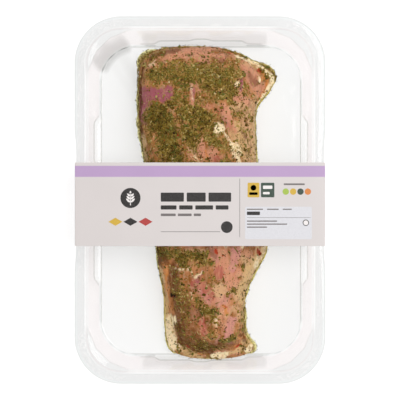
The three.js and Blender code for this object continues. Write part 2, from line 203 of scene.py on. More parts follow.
# What shows between the herbs, as soft-edged strokes on the meat seen from above, with painted shade among it
# and one stroke of painted light: a path in millimetres, half the stroke's width, and its strength.
TISSUES_AND_PAINTED_SHADING = {
    "salmon": [
        ([(-30.5, 82), (-25, 85.5)], 2.2, 0.5), ([(-21, 86.5), (-10, 88.5)], 2.4, 0.7),
        ([(-20, 89.5), (-10, 91.8), (1, 92.6), (10, 91.8), (16, 90)], 2.4, 1),
        ([(20, 62.5), (24, 61)], 1.8, 0.9), ([(-10, 88.5), (0.5, 89.5), (9, 89), (14, 87.5)], 2.8, 0.9),
        ([(20, 88.5), (27, 84)], 2.2, 0.7), ([(-1, 86.5), (6, 84.5)], 2.4, 0.8),
        ([(36, -31), (35, -37)], 3.0, 0.7), ([(26.5, -31), (30, -33)], 3.0, 0.6),
        ([(29, 81), (33.5, 73.5), (38, 67.5)], 4.8, 1), ([(-5, 69.5), (-5, 58)], 2.0, 0.9),
        ([(-2, 71), (-1, 66.5)], 1.2, 0.8), ([(3.5, 56), (7, 56.5)], 2.4, 0.6),
        ([(24, 64), (29, 59.5)], 2.4, 0.9), ([(14.5, 56), (16, 51), (19, 44), (21, 39)], 2.8, 1),
        ([(-1, 36), (1.5, 30), (6.5, 25)], 3.0, 0.9), ([(8, 29), (7, 22)], 2.8, 0.8),
        ([(-7.5, 30), (-4.5, 26)], 1.8, 0.5), ([(4, -32.5), (4, -35)], 1.8, 0.8),
        ([(9, -29), (12, -31), (13, -38), (16, -45), (19.5, -50)], 4.8, 0.9),
        ([(12, -65), (16, -67)], 2.8, 1), ([(18, -47), (24, -44)], 2.4, 0.8),
        ([(2.5, -59.5), (9, -61), (15.5, -62)], 2.7, 0.8), ([(-6, -67), (-1, -72)], 3.6, 0.4),
        ([(8, -95.5), (14, -96.3), (22, -94.5)], 2.6, 1), ([(13.5, -72), (16, -79)], 3.6, 0.5),
    ],
    "tan": [
        ([(29.5, 58), (30, 45), (31, 30), (32, 18)], 4.5, 1),
        ([(28, -35.5), (30.5, -40.5), (29, -47)], 4.8, 0.9), ([(24.5, -61), (23.5, -72)], 3.0, 0.6),
        ([(10, -53.5), (13.5, -54), (10.5, -59)], 3.2, 1), ([(16, -70), (20, -66)], 2.2, 0.7),
        ([(20, -51), (22, -60)], 2.6, 0.8), ([(8, -71), (11, -73)], 1.8, 0.7),
        # The stroke along y = -30, just below the sleeve's edge, is painted light: it lightens the meat where
        # the sleeve shades it.
        ([(8, -73), (10, -74.5)], 2.0, 0.8), ([(-8, -30), (8, -29.5)], 1.6, 0.7),
        ([(20, 36), (23, 24)], 2.4, 0.6), ([(36, 63.5), (32, 58)], 3.0, 0.6),
        ([(18, 56), (22, 54)], 2.2, 0.8), ([(22.5, 60), (24.5, 56)], 2.4, 1),
        ([(23.5, -46), (26, -45)], 2.0, 0.8), ([(-6, 31), (-3, 28)], 2.0, 0.9),
        ([(11, -69), (13.5, -68)], 1.6, 0.8),
    ],
    "red_lean": [
        ([(-3.5, -50.5), (2, -53), (6, -57.5)], 3.9, 1), ([(1, -73.5), (2.5, -80.5)], 2.4, 0.9),
        ([(11, 53), (13.5, 55.5)], 1.8, 0.5), ([(10, 24), (8, 18)], 3.6, 0.7),
        ([(10.5, -42), (12, -47)], 2.4, 0.8), ([(20.5, -90.5), (27, -87.5)], 2.4, 0.85),
    ],
    "mauve": [
        ([(-35, 65.5), (-27, 63.5), (-21, 63.5)], 4.2, 1), ([(-35, 63), (-35.5, 56.5), (-33, 50)], 4.0, 1),
        ([(-31, 57), (-29, 54)], 2.4, 0.9), ([(-19.5, 67.5), (-19, 67)], 1.5, 0.8),
        ([(-1, 83.5), (2, 77.5)], 1.2, 0.7), ([(24.5, 72.5), (25, 67)], 1.6, 1),
        ([(-4, 67.5), (-4, 61.5)], 1.0, 0.6), ([(0.5, -44), (-1.5, -47.5)], 1.8, 0.5),
    ],
    "pink": [
        ([(22, -30.5), (20, -41)], 3.0, 1), ([(18.5, -74), (17.5, -85)], 3.0, 1),
        ([(14, 50), (17, 44)], 1.6, 0.6), ([(7, -30), (9, -36)], 2.5, 0.5),
        ([(11, -62), (17, -58)], 2.4, 0.6), ([(0, -55), (5, -60)], 2.0, 0.6),
        ([(9, -86), (12, -82)], 1.6, 0.5),
    ],
    "orange": [
        ([(10, 91), (17.5, 90), (23.5, 88)], 1.2, 0.8),
        ([(35.5, 79), (41.5, 73.5), (41, 67.5), (35.5, 62)], 1.6, 0.8),
        ([(26, -42), (26.5, -42.5)], 1.2, 0.9),
        ([(-22, -39), (-21.5, -45), (-21, -52), (-19, -61), (-17.5, -67.5)], 1.9, 1),
        ([(14, -64), (16, -69)], 1.2, 0.9), ([(24.5, -85), (27, -86)], 1.6, 0.7),
        ([(19.5, -91), (24.5, -89.5), (29, -87)], 1.9, 1), ([(4, 30), (4, 24)], 0.7, 0.8),
        ([(-21, 20.5), (-30, 20.5)], 1.2, 0.3),
    ],
    "golden": [
        ([(-24.5, -42), (-23.7, -52), (-22, -62), (-21, -70)], 1.8, 1), ([(27, -90), (31, -87)], 3.0, 1),
        ([(-35.5, 39), (-34.6, 30), (-33, 18)], 1.6, 1), ([(23, -57), (25, -62)], 2.2, 0.9),
        ([(37, -31.5), (34, -38), (29, -45), (26, -53), (26, -60)], 3.4, 1),
        ([(26.5, -64), (27, -76)], 1.6, 0.8), ([(17, -95.5), (25, -93.5)], 1.8, 0.9),
        ([(24, -92.5), (30, -91)], 2.2, 1), ([(-10, -96), (-1, -97.5)], 1.5, 0.9),
        ([(20, 38.5), (23.5, 33), (26, 24)], 3.4, 0.6), ([(23, 46), (25, 34), (27, 26)], 2.6, 0.8),
        ([(-17, -89.5), (-12, -92.5), (-6, -95)], 2.2, 1), ([(33.5, 52), (33.3, 38), (33.8, 20)], 1.4, 0.8),
        ([(26, 83.5), (34, 82.5), (42, 79)], 1.4, 0.5),
    ],
    "fat": [
        ([(-30.5, 82.5), (-27.5, 84.5)], 1.4, 0.4), ([(39.8, -30), (37.4, -34.5), (33, -40.5)], 1.6, 0.7),
        ([(22, 88.6), (28, 86.6)], 1.2, 0.7), ([(28, 86.6), (36, 84), (42, 81)], 1.4, 0.9),
        ([(39.5, 65), (36, 59), (34.6, 53)], 1.7, 0.9),
        ([(38.5, 82.5), (44, 78), (45, 73), (41.5, 67)], 1.3, 0.9), ([(36, 74), (36.5, 73.5)], 1.1, 1),
        ([(31, 84), (38, 82)], 0.9, 0.6), ([(10, 44.8), (12, 42)], 2.8, 1),
        ([(13.5, 40.5), (17, 36.5)], 1.6, 0.55), ([(21, 35), (24, 31.5)], 1.4, 0.6),
        ([(17.5, 36), (21, 30.5), (24, 29)], 1.5, 0.8), ([(21.5, 27), (23.5, 22)], 2.2, 0.9),
        ([(11, 75.5), (13, 75)], 1.6, 0.8), ([(22, 70.5), (22, 69.5)], 1.1, 0.7),
        ([(-14.5, -41.5), (-11, -41.8)], 0.9, 0.45), ([(-7.5, -43), (-3, -45.5), (1.5, -43.5)], 0.9, 0.5),
        ([(-6, -56), (-5, -59)], 1.1, 0.4), ([(9.5, -71), (10, -74)], 0.9, 0.5),
        ([(-18.6, -74), (-19.2, -78)], 3.5, 1), ([(-19.8, -78), (-19.2, -84), (-17.6, -90)], 3.2, 1),
        ([(38, -30.5), (41.5, -29.5)], 2.4, 0.6), ([(-5, 69), (-4.5, 61.5)], 0.5, 0.45),
        ([(8, -96.4), (12, -97), (16, -96.4)], 2.0, 1), ([(29, -93.5), (33, -89.5)], 2.0, 0.9),
        ([(-16.5, -89.5), (-13.5, -91)], 1.8, 0.9), ([(-4, 26), (-1.5, 23.5)], 1.1, 0.5),
    ],
    "blood": [
        ([(35.5, 81), (37.5, 79.5)], 1.3, 1), ([(9.5, -30.5), (10, -32)], 0.9, 0.9),
        ([(36, -32), (36, -33)], 1.2, 1), ([(-9, -90.5), (-7, -91)], 1.2, 0.7),
        ([(16, 90), (18.5, 89.5)], 0.7, 0.7), ([(14, -64), (15, -64.5)], 0.6, 0.8),
        ([(22, -91), (25, -90)], 1.0, 0.8), ([(-13, 40.5), (-13, 39.5)], 0.5, 0.9),
    ],
    "clot": [
        ([(-17.3, -58), (-17.1, -59)], 1.3, 1),
    ],
    # Painted shade, partly the meat's own dark brown: the steep left edge and the ends, which turn away from
    # the lamps, and a few darker brown patches on the top.
    "shade": [
        ([(-34.5, 84), (-36.7, 74), (-37, 60), (-36.3, 46), (-35.5, 40)], 1.35, 1),
        ([(9, 86.5), (14, 85.5)], 1.8, 0.5), ([(4, -29), (8, -33)], 2.2, 0.6),
        ([(-9.5, -88.5), (-4, -90.5)], 2.2, 0.9), ([(-3, -66), (0, -69)], 2.2, 0.6),
        ([(4, -73), (5, -77)], 1.8, 0.5), ([(17.5, -89.5), (19.5, -90.5)], 1.4, 0.5),
        ([(25, -83), (27.8, -87.5)], 1.6, 0.8), ([(-30, 87), (-24, 89.5), (-14, 91.6)], 1.7, 0.75),
        ([(9, 91.3), (17, 89.5)], 1.5, 0.6), ([(-21.5, -32), (-21, -38)], 2.0, 0.8),
        ([(30, 60), (32, 56)], 1.0, 0.35), ([(18.5, -87), (19, -89)], 1.8, 0.6),
        ([(-4, -91), (6, -93)], 2.4, 0.9),
        ([(-16.5, -41.5), (-15.4, -61), (-12.8, -74), (-10.8, -89)], 3.5, 0.75),
        ([(-8, -62), (-7, -74), (-4, -86)], 4.5, 0.55), ([(30, 77), (33, 73)], 2.2, 0.6),
        ([(-13.2, -72), (-12.4, -88)], 1.7, 1), ([(-9.5, -86.5), (3.5, -89.5), (13.5, -88)], 3.6, 0.65),
        ([(-17.2, -58), (-17.2, -59)], 1.7, 1), ([(6.5, 44.5), (7.5, 42.5)], 1.5, 0.9),
        ([(25.5, 42.5), (28, 36)], 0.5, 0.7), ([(27, 49.5), (29, 40.5)], 0.4, 0.6),
        ([(30, 37.5), (30.5, 30)], 0.5, 0.5), ([(4, 67.5), (6, 65)], 1.1, 0.7),
        ([(17.5, -56), (21.5, -55.5)], 0.7, 0.5), ([(-27, -30.5), (-24, -38)], 2.4, 0.7),
    ],
}

# Where the herbs lie thickly, and where their marinade is darkest.
HERB_ZONES = [
    ([(-29, 76), (-18, 76), (-7, 75), (3.5, 76.5)], 5.2, 0.85),
    ([(-10, 80.5), (-4, 79), (9.5, 77.5), (23.5, 76)], 3.8, 0.85),
    ([(3.5, 69.5), (14, 70.5), (18, 67)], 4.4, 0.95), ([(-27.5, 51), (-21, 45), (-19, 33)], 7.6, 1),
    ([(-19, 33), (-16, 24)], 5.5, 0.95), ([(-9, 53), (0.5, 49.5), (5, 47)], 6.2, 0.9),
    ([(-7, 41), (-4.5, 36)], 5.5, 0.85), ([(4.5, 36), (9, 34)], 2.4, 1), ([(28, 30), (30, 27)], 1.6, 0.6),
    ([(15, 34), (19, 30)], 1.4, 0.8), ([(-24, -31), (-9, -34), (1.5, -34)], 4.0, 0.85),
    ([(17, -56), (21.5, -55.5)], 1.8, 0.7), ([(1, -67.5), (6, -67)], 2.2, 1),
    ([(-13, -37), (-9, -40)], 2.6, 0.85), ([(13.5, -85.5), (20.5, -84)], 2.1, 1),
    ([(-13, -90.5), (-8, -92.5)], 2.2, 0.5), ([(-15, -49), (-10.5, -58.5), (-9, -73)], 3.6, 0.45),
    ([(-2.5, -88), (9.5, -91)], 2.4, 0.7), ([(-30, 14), (-14, 0), (-5, -14)], 13, 0.75),
    ([(25.5, -66), (26.5, -79)], 1.8, 0.6), ([(22.5, 85.5), (23.5, 84.5)], 1.6, 0.8),
    ([(-2, -38), (7.5, -39)], 2.4, 0.6), ([(26.5, -39.5), (26, -41.5)], 1.2, 0.7),
]
DARK_ZONES = [
    ([(-27, 49.5), (-18, 41), (-20.5, 30)], 6.7, 1), ([(-15, 28), (-13, 24)], 3.0, 0.6),
    ([(3.5, 67.5), (13.5, 71)], 3.6, 0.4), ([(-2, -91), (9, -91)], 3.0, 0.6),
]


# Painted shade on the tray: a darker crescent on one corner's wall, where the sheet mirrors something dark,
# and bands at the foot of the short ends, where the wall mirrors the meat and its shadow. Strokes like those
# on the meat.
PAINTED_TRAY_SHADE = [
    ([(-61, 84.5), (-56, 91), (-48, 95.5)], 4.2, 1), ([(-33, 98.5), (38, 98.5)], 3.0, 0.6),
    ([(-33, -99), (38, -99)], 2.6, 0.5),
]


# Settings that a user would change.


def colour_setting(name, description, hex_colour):
    """A setting that holds a colour."""
    return FloatVectorProperty(
        name=name, description=description, subtype="COLOR", size=4, default=linear(hex_colour)
    )


def number_setting(name, description, default, unit="NONE"):
    """A setting that holds a number."""
    return FloatProperty(name=name, description=description, default=default, unit=unit, min=0, precision=5)


def count_setting(name, description, default):
    """A setting that holds a whole number."""
    return IntProperty(name=name, description=description, default=default, min=0)


class StageSettings(bpy.types.PropertyGroup):
    """Floor, lamps and camera."""

    camera_height: number_setting("Camera height", "Height of the camera above the floor", 0.995, "LENGTH")
    camera_aside: FloatVectorProperty(
        name="Camera aside", size=2, default=(0.012, -0.0065), subtype="XYZ", unit="LENGTH", precision=5,
        description="How far the camera stands from the pack's middle; the lens shifts back",
    )
    focal_length: number_setting("Focal length", "Focal length in millimetres", 143.1, "CAMERA")
    floor_colour: colour_setting("Floor", "Colour of the studio floor", "#B4B4B3")
    floor_glow: number_setting("Floor glow", "Light that the translucent floor gives from below", 0.66)
    key_power: number_setting("Key lamp", "Power of the soft lamp at the right", 10, "POWER")
    top_power: number_setting("Top lamp", "Power of the large overhead lamp", 8.5, "POWER")
    sky_brightness: number_setting("Surround", "Brightness of the studio's walls", 0.98)


class ClearSettings(bpy.types.PropertyGroup):
    """Finish of the tray and of the film on it."""

    tray_tint: colour_setting("Tray tint", "Light that one face of the tray lets through head-on", "#FAFBFB")
    tray_wall_tint: colour_setting("Wall tint", "The same where a steep wall is seen along it", "#FAF9F9")
    rim_tint: colour_setting("Rim tint", "What the sealed rim takes away besides", "#F8F8F8")
    film_tint: colour_setting("Film tint", "Light that one face of the film lets through", "#FFFEFE")
    ripple: number_setting("Film ripple", "Height of the film's slack ripples", 0.0002, "LENGTH")


class SleeveSettings(bpy.types.PropertyGroup):
    """Colours of the card sleeve."""

    board_colour: colour_setting("Board", "Printed face of the cartonboard", "#D4CDCB")
    stripe_colour: colour_setting("Stripe", "Band along one edge", "#B89CC2")
    raw_colour: colour_setting("Raw board", "Uncoated inner face", "#CFC8BC")
    stripe_from: number_setting("Stripe from", "Y at which the stripe begins", 0.0138, "LENGTH")
    stripe_to: number_setting("Stripe to", "Y at which the stripe ends", 0.0204, "LENGTH")


class MeatSettings(bpy.types.PropertyGroup):
    """Colours and relief of the tenderloin."""

    lean: colour_setting("Lean", "Lean meat under the marinade", "#B97C4E")
    salmon: colour_setting("Bare lean", "Lean meat with little on it", "#CC8D70")
    fat_colour: colour_setting("Fat", "Fat and gristle", "#F6E2B8")
    crust: number_setting("Crust", "Height of the rough coat under the herbs", 0.0003, "LENGTH")


class HerbSettings(bpy.types.PropertyGroup):
    """How much of everything is strewn on the meat and in its oil."""

    leaves: count_setting("Rosemary leaves", "Cut rosemary leaves", 3000)
    flakes: count_setting("Herb flakes", "Rubbed herb flakes", 4400)
    crumbs: count_setting("Herb crumbs", "Fine crumbs", 7000)
    garlic: count_setting("Garlic", "Granules of garlic", 120)
    paprika: count_setting("Paprika", "Flakes of paprika", 26)
    pepper: count_setting("Pepper", "Cracked peppercorns", 120)
    specks: count_setting("Specks in the oil", "Herb specks that have run out with the oil", 1600)
    seed: count_setting("Seed", "Changes where everything falls", 3609)


class PackSettings(bpy.types.PropertyGroup):
    """All settings of the pack."""

    stage: PointerProperty(type=StageSettings)
    clear: PointerProperty(type=ClearSettings)
    sleeve: PointerProperty(type=SleeveSettings)
    meat: PointerProperty(type=MeatSettings)
    herbs: PointerProperty(type=HerbSettings)


# Small formulas.


def lerp(a, b, t):
    """The value a share t of the way from a to b."""
    return a + (b - a) * t


def smoothstep(a, b, x):
    """Rises from 0 at a to 1 at b, level at both ends: 3t^2 - 2t^3."""
    t = np.clip((x - a) / (b - a), 0, 1)
    return t * t * (3 - 2 * t)


def rounded(t, exponent):
    """Rises from 0 to 1 as t does, steep at first and level at the end, like a rounded corner."""
    return (1 - (1 - np.clip(t, 0, 1)) ** exponent) ** (1 / exponent)


def unit(vectors):
    """Each vector divided by its length."""
    return vectors / np.maximum(np.linalg.norm(vectors, axis=-1, keepdims=True), 1e-12)


def hashed(cells, seed):
    """A repeatable number from 0 to 1 for each whole-numbered cell, by mixing the bits of its place."""
    n = cells[..., 0] * 73856093 ^ cells[..., 1] * 19349663 ^ cells[..., 2] * 83492791 ^ seed * 26544357
    n = (n ^ (n >> 15)) * 2246822519 & 0xFFFFFFFF
    n = (n ^ (n >> 13)) * 3266489917 & 0xFFFFFFFF
    return (n ^ (n >> 16)) / 0xFFFFFFFF


def noise(points, size, seed):
    """Smooth random values from -1 to 1 with bumps of about the given size, one number or one per axis:
    hashed numbers at the corners of a lattice, blended inside each cell by a smoothstep."""
    at = points / np.asarray(size, float)
    cell = np.floor(at).astype(np.int64)
    t = at - cell
    t = t * t * (3 - 2 * t)
    total = 0
    for corner in np.ndindex(2, 2, 2):
        total = total + np.prod(np.where(corner, t, 1 - t), axis=-1) * hashed(cell + corner, seed)
    return 2 * total - 1


def pattern_scale(size):
    """The scale of a pattern whose features are a size in millimetres apart."""
    return 1 / (size * MM)


def corner_curve(start, corner, end, t):
    """A rounded corner, the quadratic curve (1-t)^2 start + 2t(1-t) corner + t^2 end."""
    return (1 - t) ** 2 * start + 2 * t * (1 - t) * corner + t**2 * end


def distance_to_path(x, y, path):
    """The distance of each point from a path of straight stretches."""
    nearest = np.full(np.shape(x), np.inf)
    for (ax, ay), (bx, by) in zip(path, path[1:]):
        length_squared = (bx - ax) ** 2 + (by - ay) ** 2
        t = np.clip(((x - ax) * (bx - ax) + (y - ay) * (by - ay)) / length_squared, 0, 1)
        nearest = np.minimum(nearest, np.hypot(x - lerp(ax, bx, t), y - lerp(ay, by, t)))
    return nearest


# Meshes and nodes.


def grid_faces(rows, columns, round_rows=False):
    """Four-sided faces between the neighbours of a grid of points numbered row by row, each row a closed loop.
    Rows that run counterclockwise about the direction in which they follow each other make faces that point
    outwards."""
    row = np.arange(rows if round_rows else rows - 1)[:, None]
    column = np.arange(columns)[None, :]

    def at(i, j):
        return (i % rows) * columns + j % columns

    corners = [at(row, column), at(row, column + 1), at(row + 1, column + 1), at(row + 1, column)]
    return np.stack(corners, -1).reshape(-1, 4)


def closed_loft(rings, first_middle, last_middle):
    """The points and faces of a closed surface through rings of equally many points, shut at both ends by a
    fan of triangles to a middle point."""
    rows, columns = rings.shape[:2]
    k = np.arange(columns)
    after = (k + 1) % columns
    last = (rows - 1) * columns
    first_pole = np.full(columns, rows * columns)
    points = np.concatenate([rings.reshape(-1, 3), [first_middle, last_middle]])
    fans = [np.stack([first_pole, after, k], -1), np.stack([first_pole + 1, last + k, last + after], -1)]
    return points, [grid_faces(rows, columns), *fans]


def put_piece(name, points, faces, material, replaced=(), crease=None, values=None):
    """Makes a piece of the object from points in millimetres and lists of faces, with smooth shading broken
    where faces meet more sharply than the crease angle. Values are numbers for each point, by name, that the
    material reads."""
    mesh = bpy.data.meshes.new(name)
    sides = np.concatenate([np.full(len(group), group.shape[1]) for group in faces])
    corners = np.concatenate([group.ravel() for group in faces])
    mesh.vertices.add(len(points))
    mesh.vertices.foreach_set("co", (np.asarray(points, float) * MM).ravel())
    mesh.loops.add(len(corners))
    mesh.loops.foreach_set("vertex_index", corners)
    mesh.polygons.add(len(sides))
    mesh.polygons.foreach_set("loop_start", np.cumsum(sides) - sides)
    mesh.polygons.foreach_set("loop_total", sides)
    mesh.update(calc_edges=True)
    mesh.validate()
    mesh.shade_smooth()
    if crease is not None:
        mesh.set_sharp_from_angle(angle=crease)
    for label, numbers in (values or {}).items():
        attribute = mesh.attributes.new(label, "FLOAT", "POINT")
        attribute.data.foreach_set("value", np.asarray(numbers, np.float32).ravel())
    mesh.materials.append(material)
    piece = bpy.data.objects.new(name, mesh)
    bpy.context.scene.collection.objects.link(piece)
    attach(piece, "root")
    if replaced:
        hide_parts(*replaced)


def new_material(name):
    """A material with an empty node tree, and add_node for that tree."""
    material = bpy.data.materials.new(name)
    material.use_nodes = True
    material.node_tree.nodes.clear()
    return material, partial(add_node, material.node_tree)


def add_node(tree, kind, inputs=None, stops=None, out=0, **settings):
    """Adds a node of a kind such as "TexNoise" and returns its output of the given name or number. Inputs are
    values or other nodes' outputs by socket name or number, stops are a colour ramp's places and colours,
    and settings are the node's own properties. Inputs 0 to 4 of a MapRange are the value, the two ends of its
    range and what they become, and inputs 6 and 7 of a colour Mix are the two colours."""
    node = tree.nodes.new("ShaderNode" + kind)
    for label, value in settings.items():
        setattr(node, label, value)
    for label, value in (inputs or {}).items():
        if isinstance(value, bpy.types.NodeSocket):
            tree.links.new(value, node.inputs[label])
        else:
            node.inputs[label].default_value = value
    if stops:
        ramp = node.color_ramp
        while len(ramp.elements) < len(stops):
            ramp.elements.new(1)
        for element, (place, shade) in zip(ramp.elements, stops):
            element.position, element.color = place, shade
    return node.outputs[out] if node.outputs else None


# Clear plastics.


def clear_plastic(name, tints, head_on, grazing, roughness, wave_size, wave_height):
    """A thin clear sheet. What it lets through falls from the first tint, seen head-on, to the second on steep
    walls and the third edge-on, where sight passes through more of it. The fourth is multiplied in where the
    "hazy" value is 1, and the fifth where "folded" is, because a sharp fold bends light aside and mirrors
    nothing clearly. What it mirrors rises with the fifth power of the view's slant, from the head-on share to
    the grazing share. Slow waves in the surface, so many millimetres long and high, bend what it mirrors."""
    open_tint, deep_tint, edge_tint, hazy_tint, fold_tint = tints
    material, node = new_material(name)
    slant = node("LayerWeight", {"Blend": 0.5}, out="Facing")
    steep = node("Math", {0: slant, 1: 5.0}, operation="POWER")
    mirrored = node("MapRange", {0: steep, 3: head_on, 4: grazing})
    tint = node(
        "ValToRGB", {"Fac": slant},
        stops=[(0.5, open_tint), (0.78, deep_tint), (0.93, deep_tint), (0.985, edge_tint)],
    )
    for label, taken in (("hazy", hazy_tint), ("folded", fold_tint)):
        share = node("Attribute", attribute_name=label, out="Fac")
        tint = node("Mix", {0: share, 6: tint, 7: taken}, data_type="RGBA", blend_type="MULTIPLY", out=2)
    unfolded = node("Math", {0: 1.0, 1: share}, operation="SUBTRACT")
    mirrored = node("Math", {0: mirrored, 1: unfolded}, operation="MULTIPLY")
    place = node("TexCoord", out="Object")
    waves = node("TexNoise", {"Vector": place, "Scale": pattern_scale(wave_size), "Detail": 2.0})
    bump = node("Bump", {"Strength": 1.0, "Distance": wave_height * MM, "Height": waves})
    clear = node("BsdfTransparent", {"Color": tint})
    gloss = node("BsdfGlossy", {"Roughness": roughness, "Normal": bump})
    node("OutputMaterial", {"Surface": node("MixShader", {0: mirrored, 1: clear, 2: gloss})})
    return material


def panel_depth(panel, distance):
    """How far a wall's panel stands out at a distance from the wall's middle."""
    wide = 1 - smoothstep(panel["half"] - PANEL_RAMP, panel["half"], distance)
    start = panel["lobe_from"]
    rise = smoothstep(start - PANEL_RAMP, start, distance) if start else 1
    fall = 1 - smoothstep(panel["lobe_to"] - PANEL_RAMP, panel["lobe_to"], distance)
    return panel["depth"] * wide + panel["lobe_depth"] * rise * fall


def tray_ring(z, half_width, half_length, radius, bulge=0, squeeze=0, faceted=False):
    """One level of the tray's middle surface, counterclockwise from above: a rounded rectangle whose panels
    stand out by a share of their depth. Faceted corners follow a polygon round the arc, whose radius at an
    angle is the arc's divided by the cosine of the angle from the nearest facet's middle."""
    ring = []
    ends = [
        (LONG_PANEL, half_width, squeeze, 1, 1, LONG_STEPS), (SHORT_PANEL, half_length, 0, -1, 1, SHORT_STEPS)
    ]
    ends += [(panel, reach, squeezed, -x, -y, n) for panel, reach, squeezed, x, y, n in ends]
    for side, (panel, reach, squeezed, corner_x, corner_y, steps) in enumerate(ends):
        turned = side * np.pi / 2
        out_x, out_y = round(np.cos(turned)), round(np.sin(turned))
        straight = (half_length if side % 2 == 0 else half_width) - radius
        place = np.linspace(-straight, straight, steps + 1)[:-1]
        distance = np.abs(place)
        inwards = squeezed * SQUEEZE_DEPTH * (1 - smoothstep(SQUEEZE_FULL, SQUEEZE_END, distance))
        out = reach + bulge * panel_depth(panel, distance) - inwards
        ring.append(np.stack([out_x * out - out_y * place, out_y * out + out_x * place], -1))
        corner = np.linspace(0, np.pi / 2, CORNER_STEPS + 1)[:-1]
        from_facet = corner - np.round(corner / FACET_ANGLE) * FACET_ANGLE
        reached = radius / np.cos(from_facet) if faceted else np.full(corner.shape, float(radius))
        angle = turned + corner
        x = corner_x * (half_width - radius) + reached * np.cos(angle)
        y = corner_y * (half_length - radius) + reached * np.sin(angle)
        ring.append(np.stack([x, y], -1))
    ring = np.concatenate(ring)
    return np.column_stack([ring, np.full(len(ring), z)])


def tray_levels():
    """The tray's middle surface level by level: floor, foot, wall with its panels, ledge, rim and lip. It is
    as in the CAD source, but with a floor 0.5 mm wider and long panels 0.7 mm shallower. With each level come
    the length over which its corner is rounded, and how dark a line its fold draws along the straight sides
    and round the corners."""
    floor_middle = FLOOR_HEIGHT - SHEET / 2
    rim_middle = RIM_HEIGHT - SHEET / 2

    def in_from(distance):
        return TRAY_HALF_WIDTH - distance, TRAY_HALF_LENGTH - distance, TRAY_CORNER_RADIUS - distance

    def on_floor(out):
        return FLOOR_HALF_WIDTH + out, FLOOR_HALF_LENGTH + out, FLOOR_CORNER_RADIUS + out

    def on_wall(z, out=0.0):
        share = np.clip((z - FOOT_HEIGHT) / (LEDGE_HEIGHT - FOOT_HEIGHT), 0, 1)
        top_inset = RIM_WIDTH + LEDGE_STEP
        half_width = lerp(FLOOR_HALF_WIDTH + FOOT_STEP_OUT, TRAY_HALF_WIDTH - top_inset, share) + out
        half_length = lerp(FLOOR_HALF_LENGTH + FOOT_STEP_OUT, TRAY_HALF_LENGTH - top_inset, share) + out
        radius = lerp(FOOT_CORNER_RADIUS, LEDGE_CORNER_RADIUS, share) + out
        return {
            "z": z, "half_width": half_width, "half_length": half_length, "radius": radius,
            "bulge": 1 - share, "faceted": True,
        }

    low_curve = on_wall(lerp(floor_middle, FOOT_HEIGHT, 0.3), -0.35 * FOOT_STEP_OUT)
    middle = (FOOT_HEIGHT + LEDGE_HEIGHT) / 2
    return [
        (0, 0, 0, tray_ring(floor_middle, *on_floor(-FLOOR_BORDER))),
        (0.9, 0.7, 0, tray_ring(floor_middle, *on_floor(0))),
        (1.0, 0, 0, tray_ring(**{**low_curve, "bulge": FOOT_BULGE})),
        (1.0, 1, 0, tray_ring(**on_wall(FOOT_HEIGHT))),
        (1.0, 0, 0, tray_ring(**on_wall(middle))),
        (0.4, 0.2, 0.7, tray_ring(**on_wall(LEDGE_HEIGHT))),
        (0.4, 0, 0, tray_ring(LEDGE_HEIGHT + LEDGE_STEP, *in_from(RIM_WIDTH))),
        (0.5, 0, 0, tray_ring(rim_middle - 2 * RIM_INNER_ROUND, *in_from(RIM_WIDTH))),
        (0.5, 0, 0, tray_ring(rim_middle, *in_from(RIM_WIDTH - 2 * RIM_INNER_ROUND))),
        (0.4, 0, 0, tray_ring(rim_middle, *in_from(SHEET / 2 + LIP_ROUND), squeeze=1)),
        (0.3, 0.7, 0.7, tray_ring(rim_middle - LIP_ROUND / 2, *in_from(SHEET / 2 + LIP_LEAN), squeeze=1)),
        (0, 0, 0, tray_ring(RIM_HEIGHT - LIP_DEPTH, *in_from(SHEET / 2), squeeze=1)),
    ]


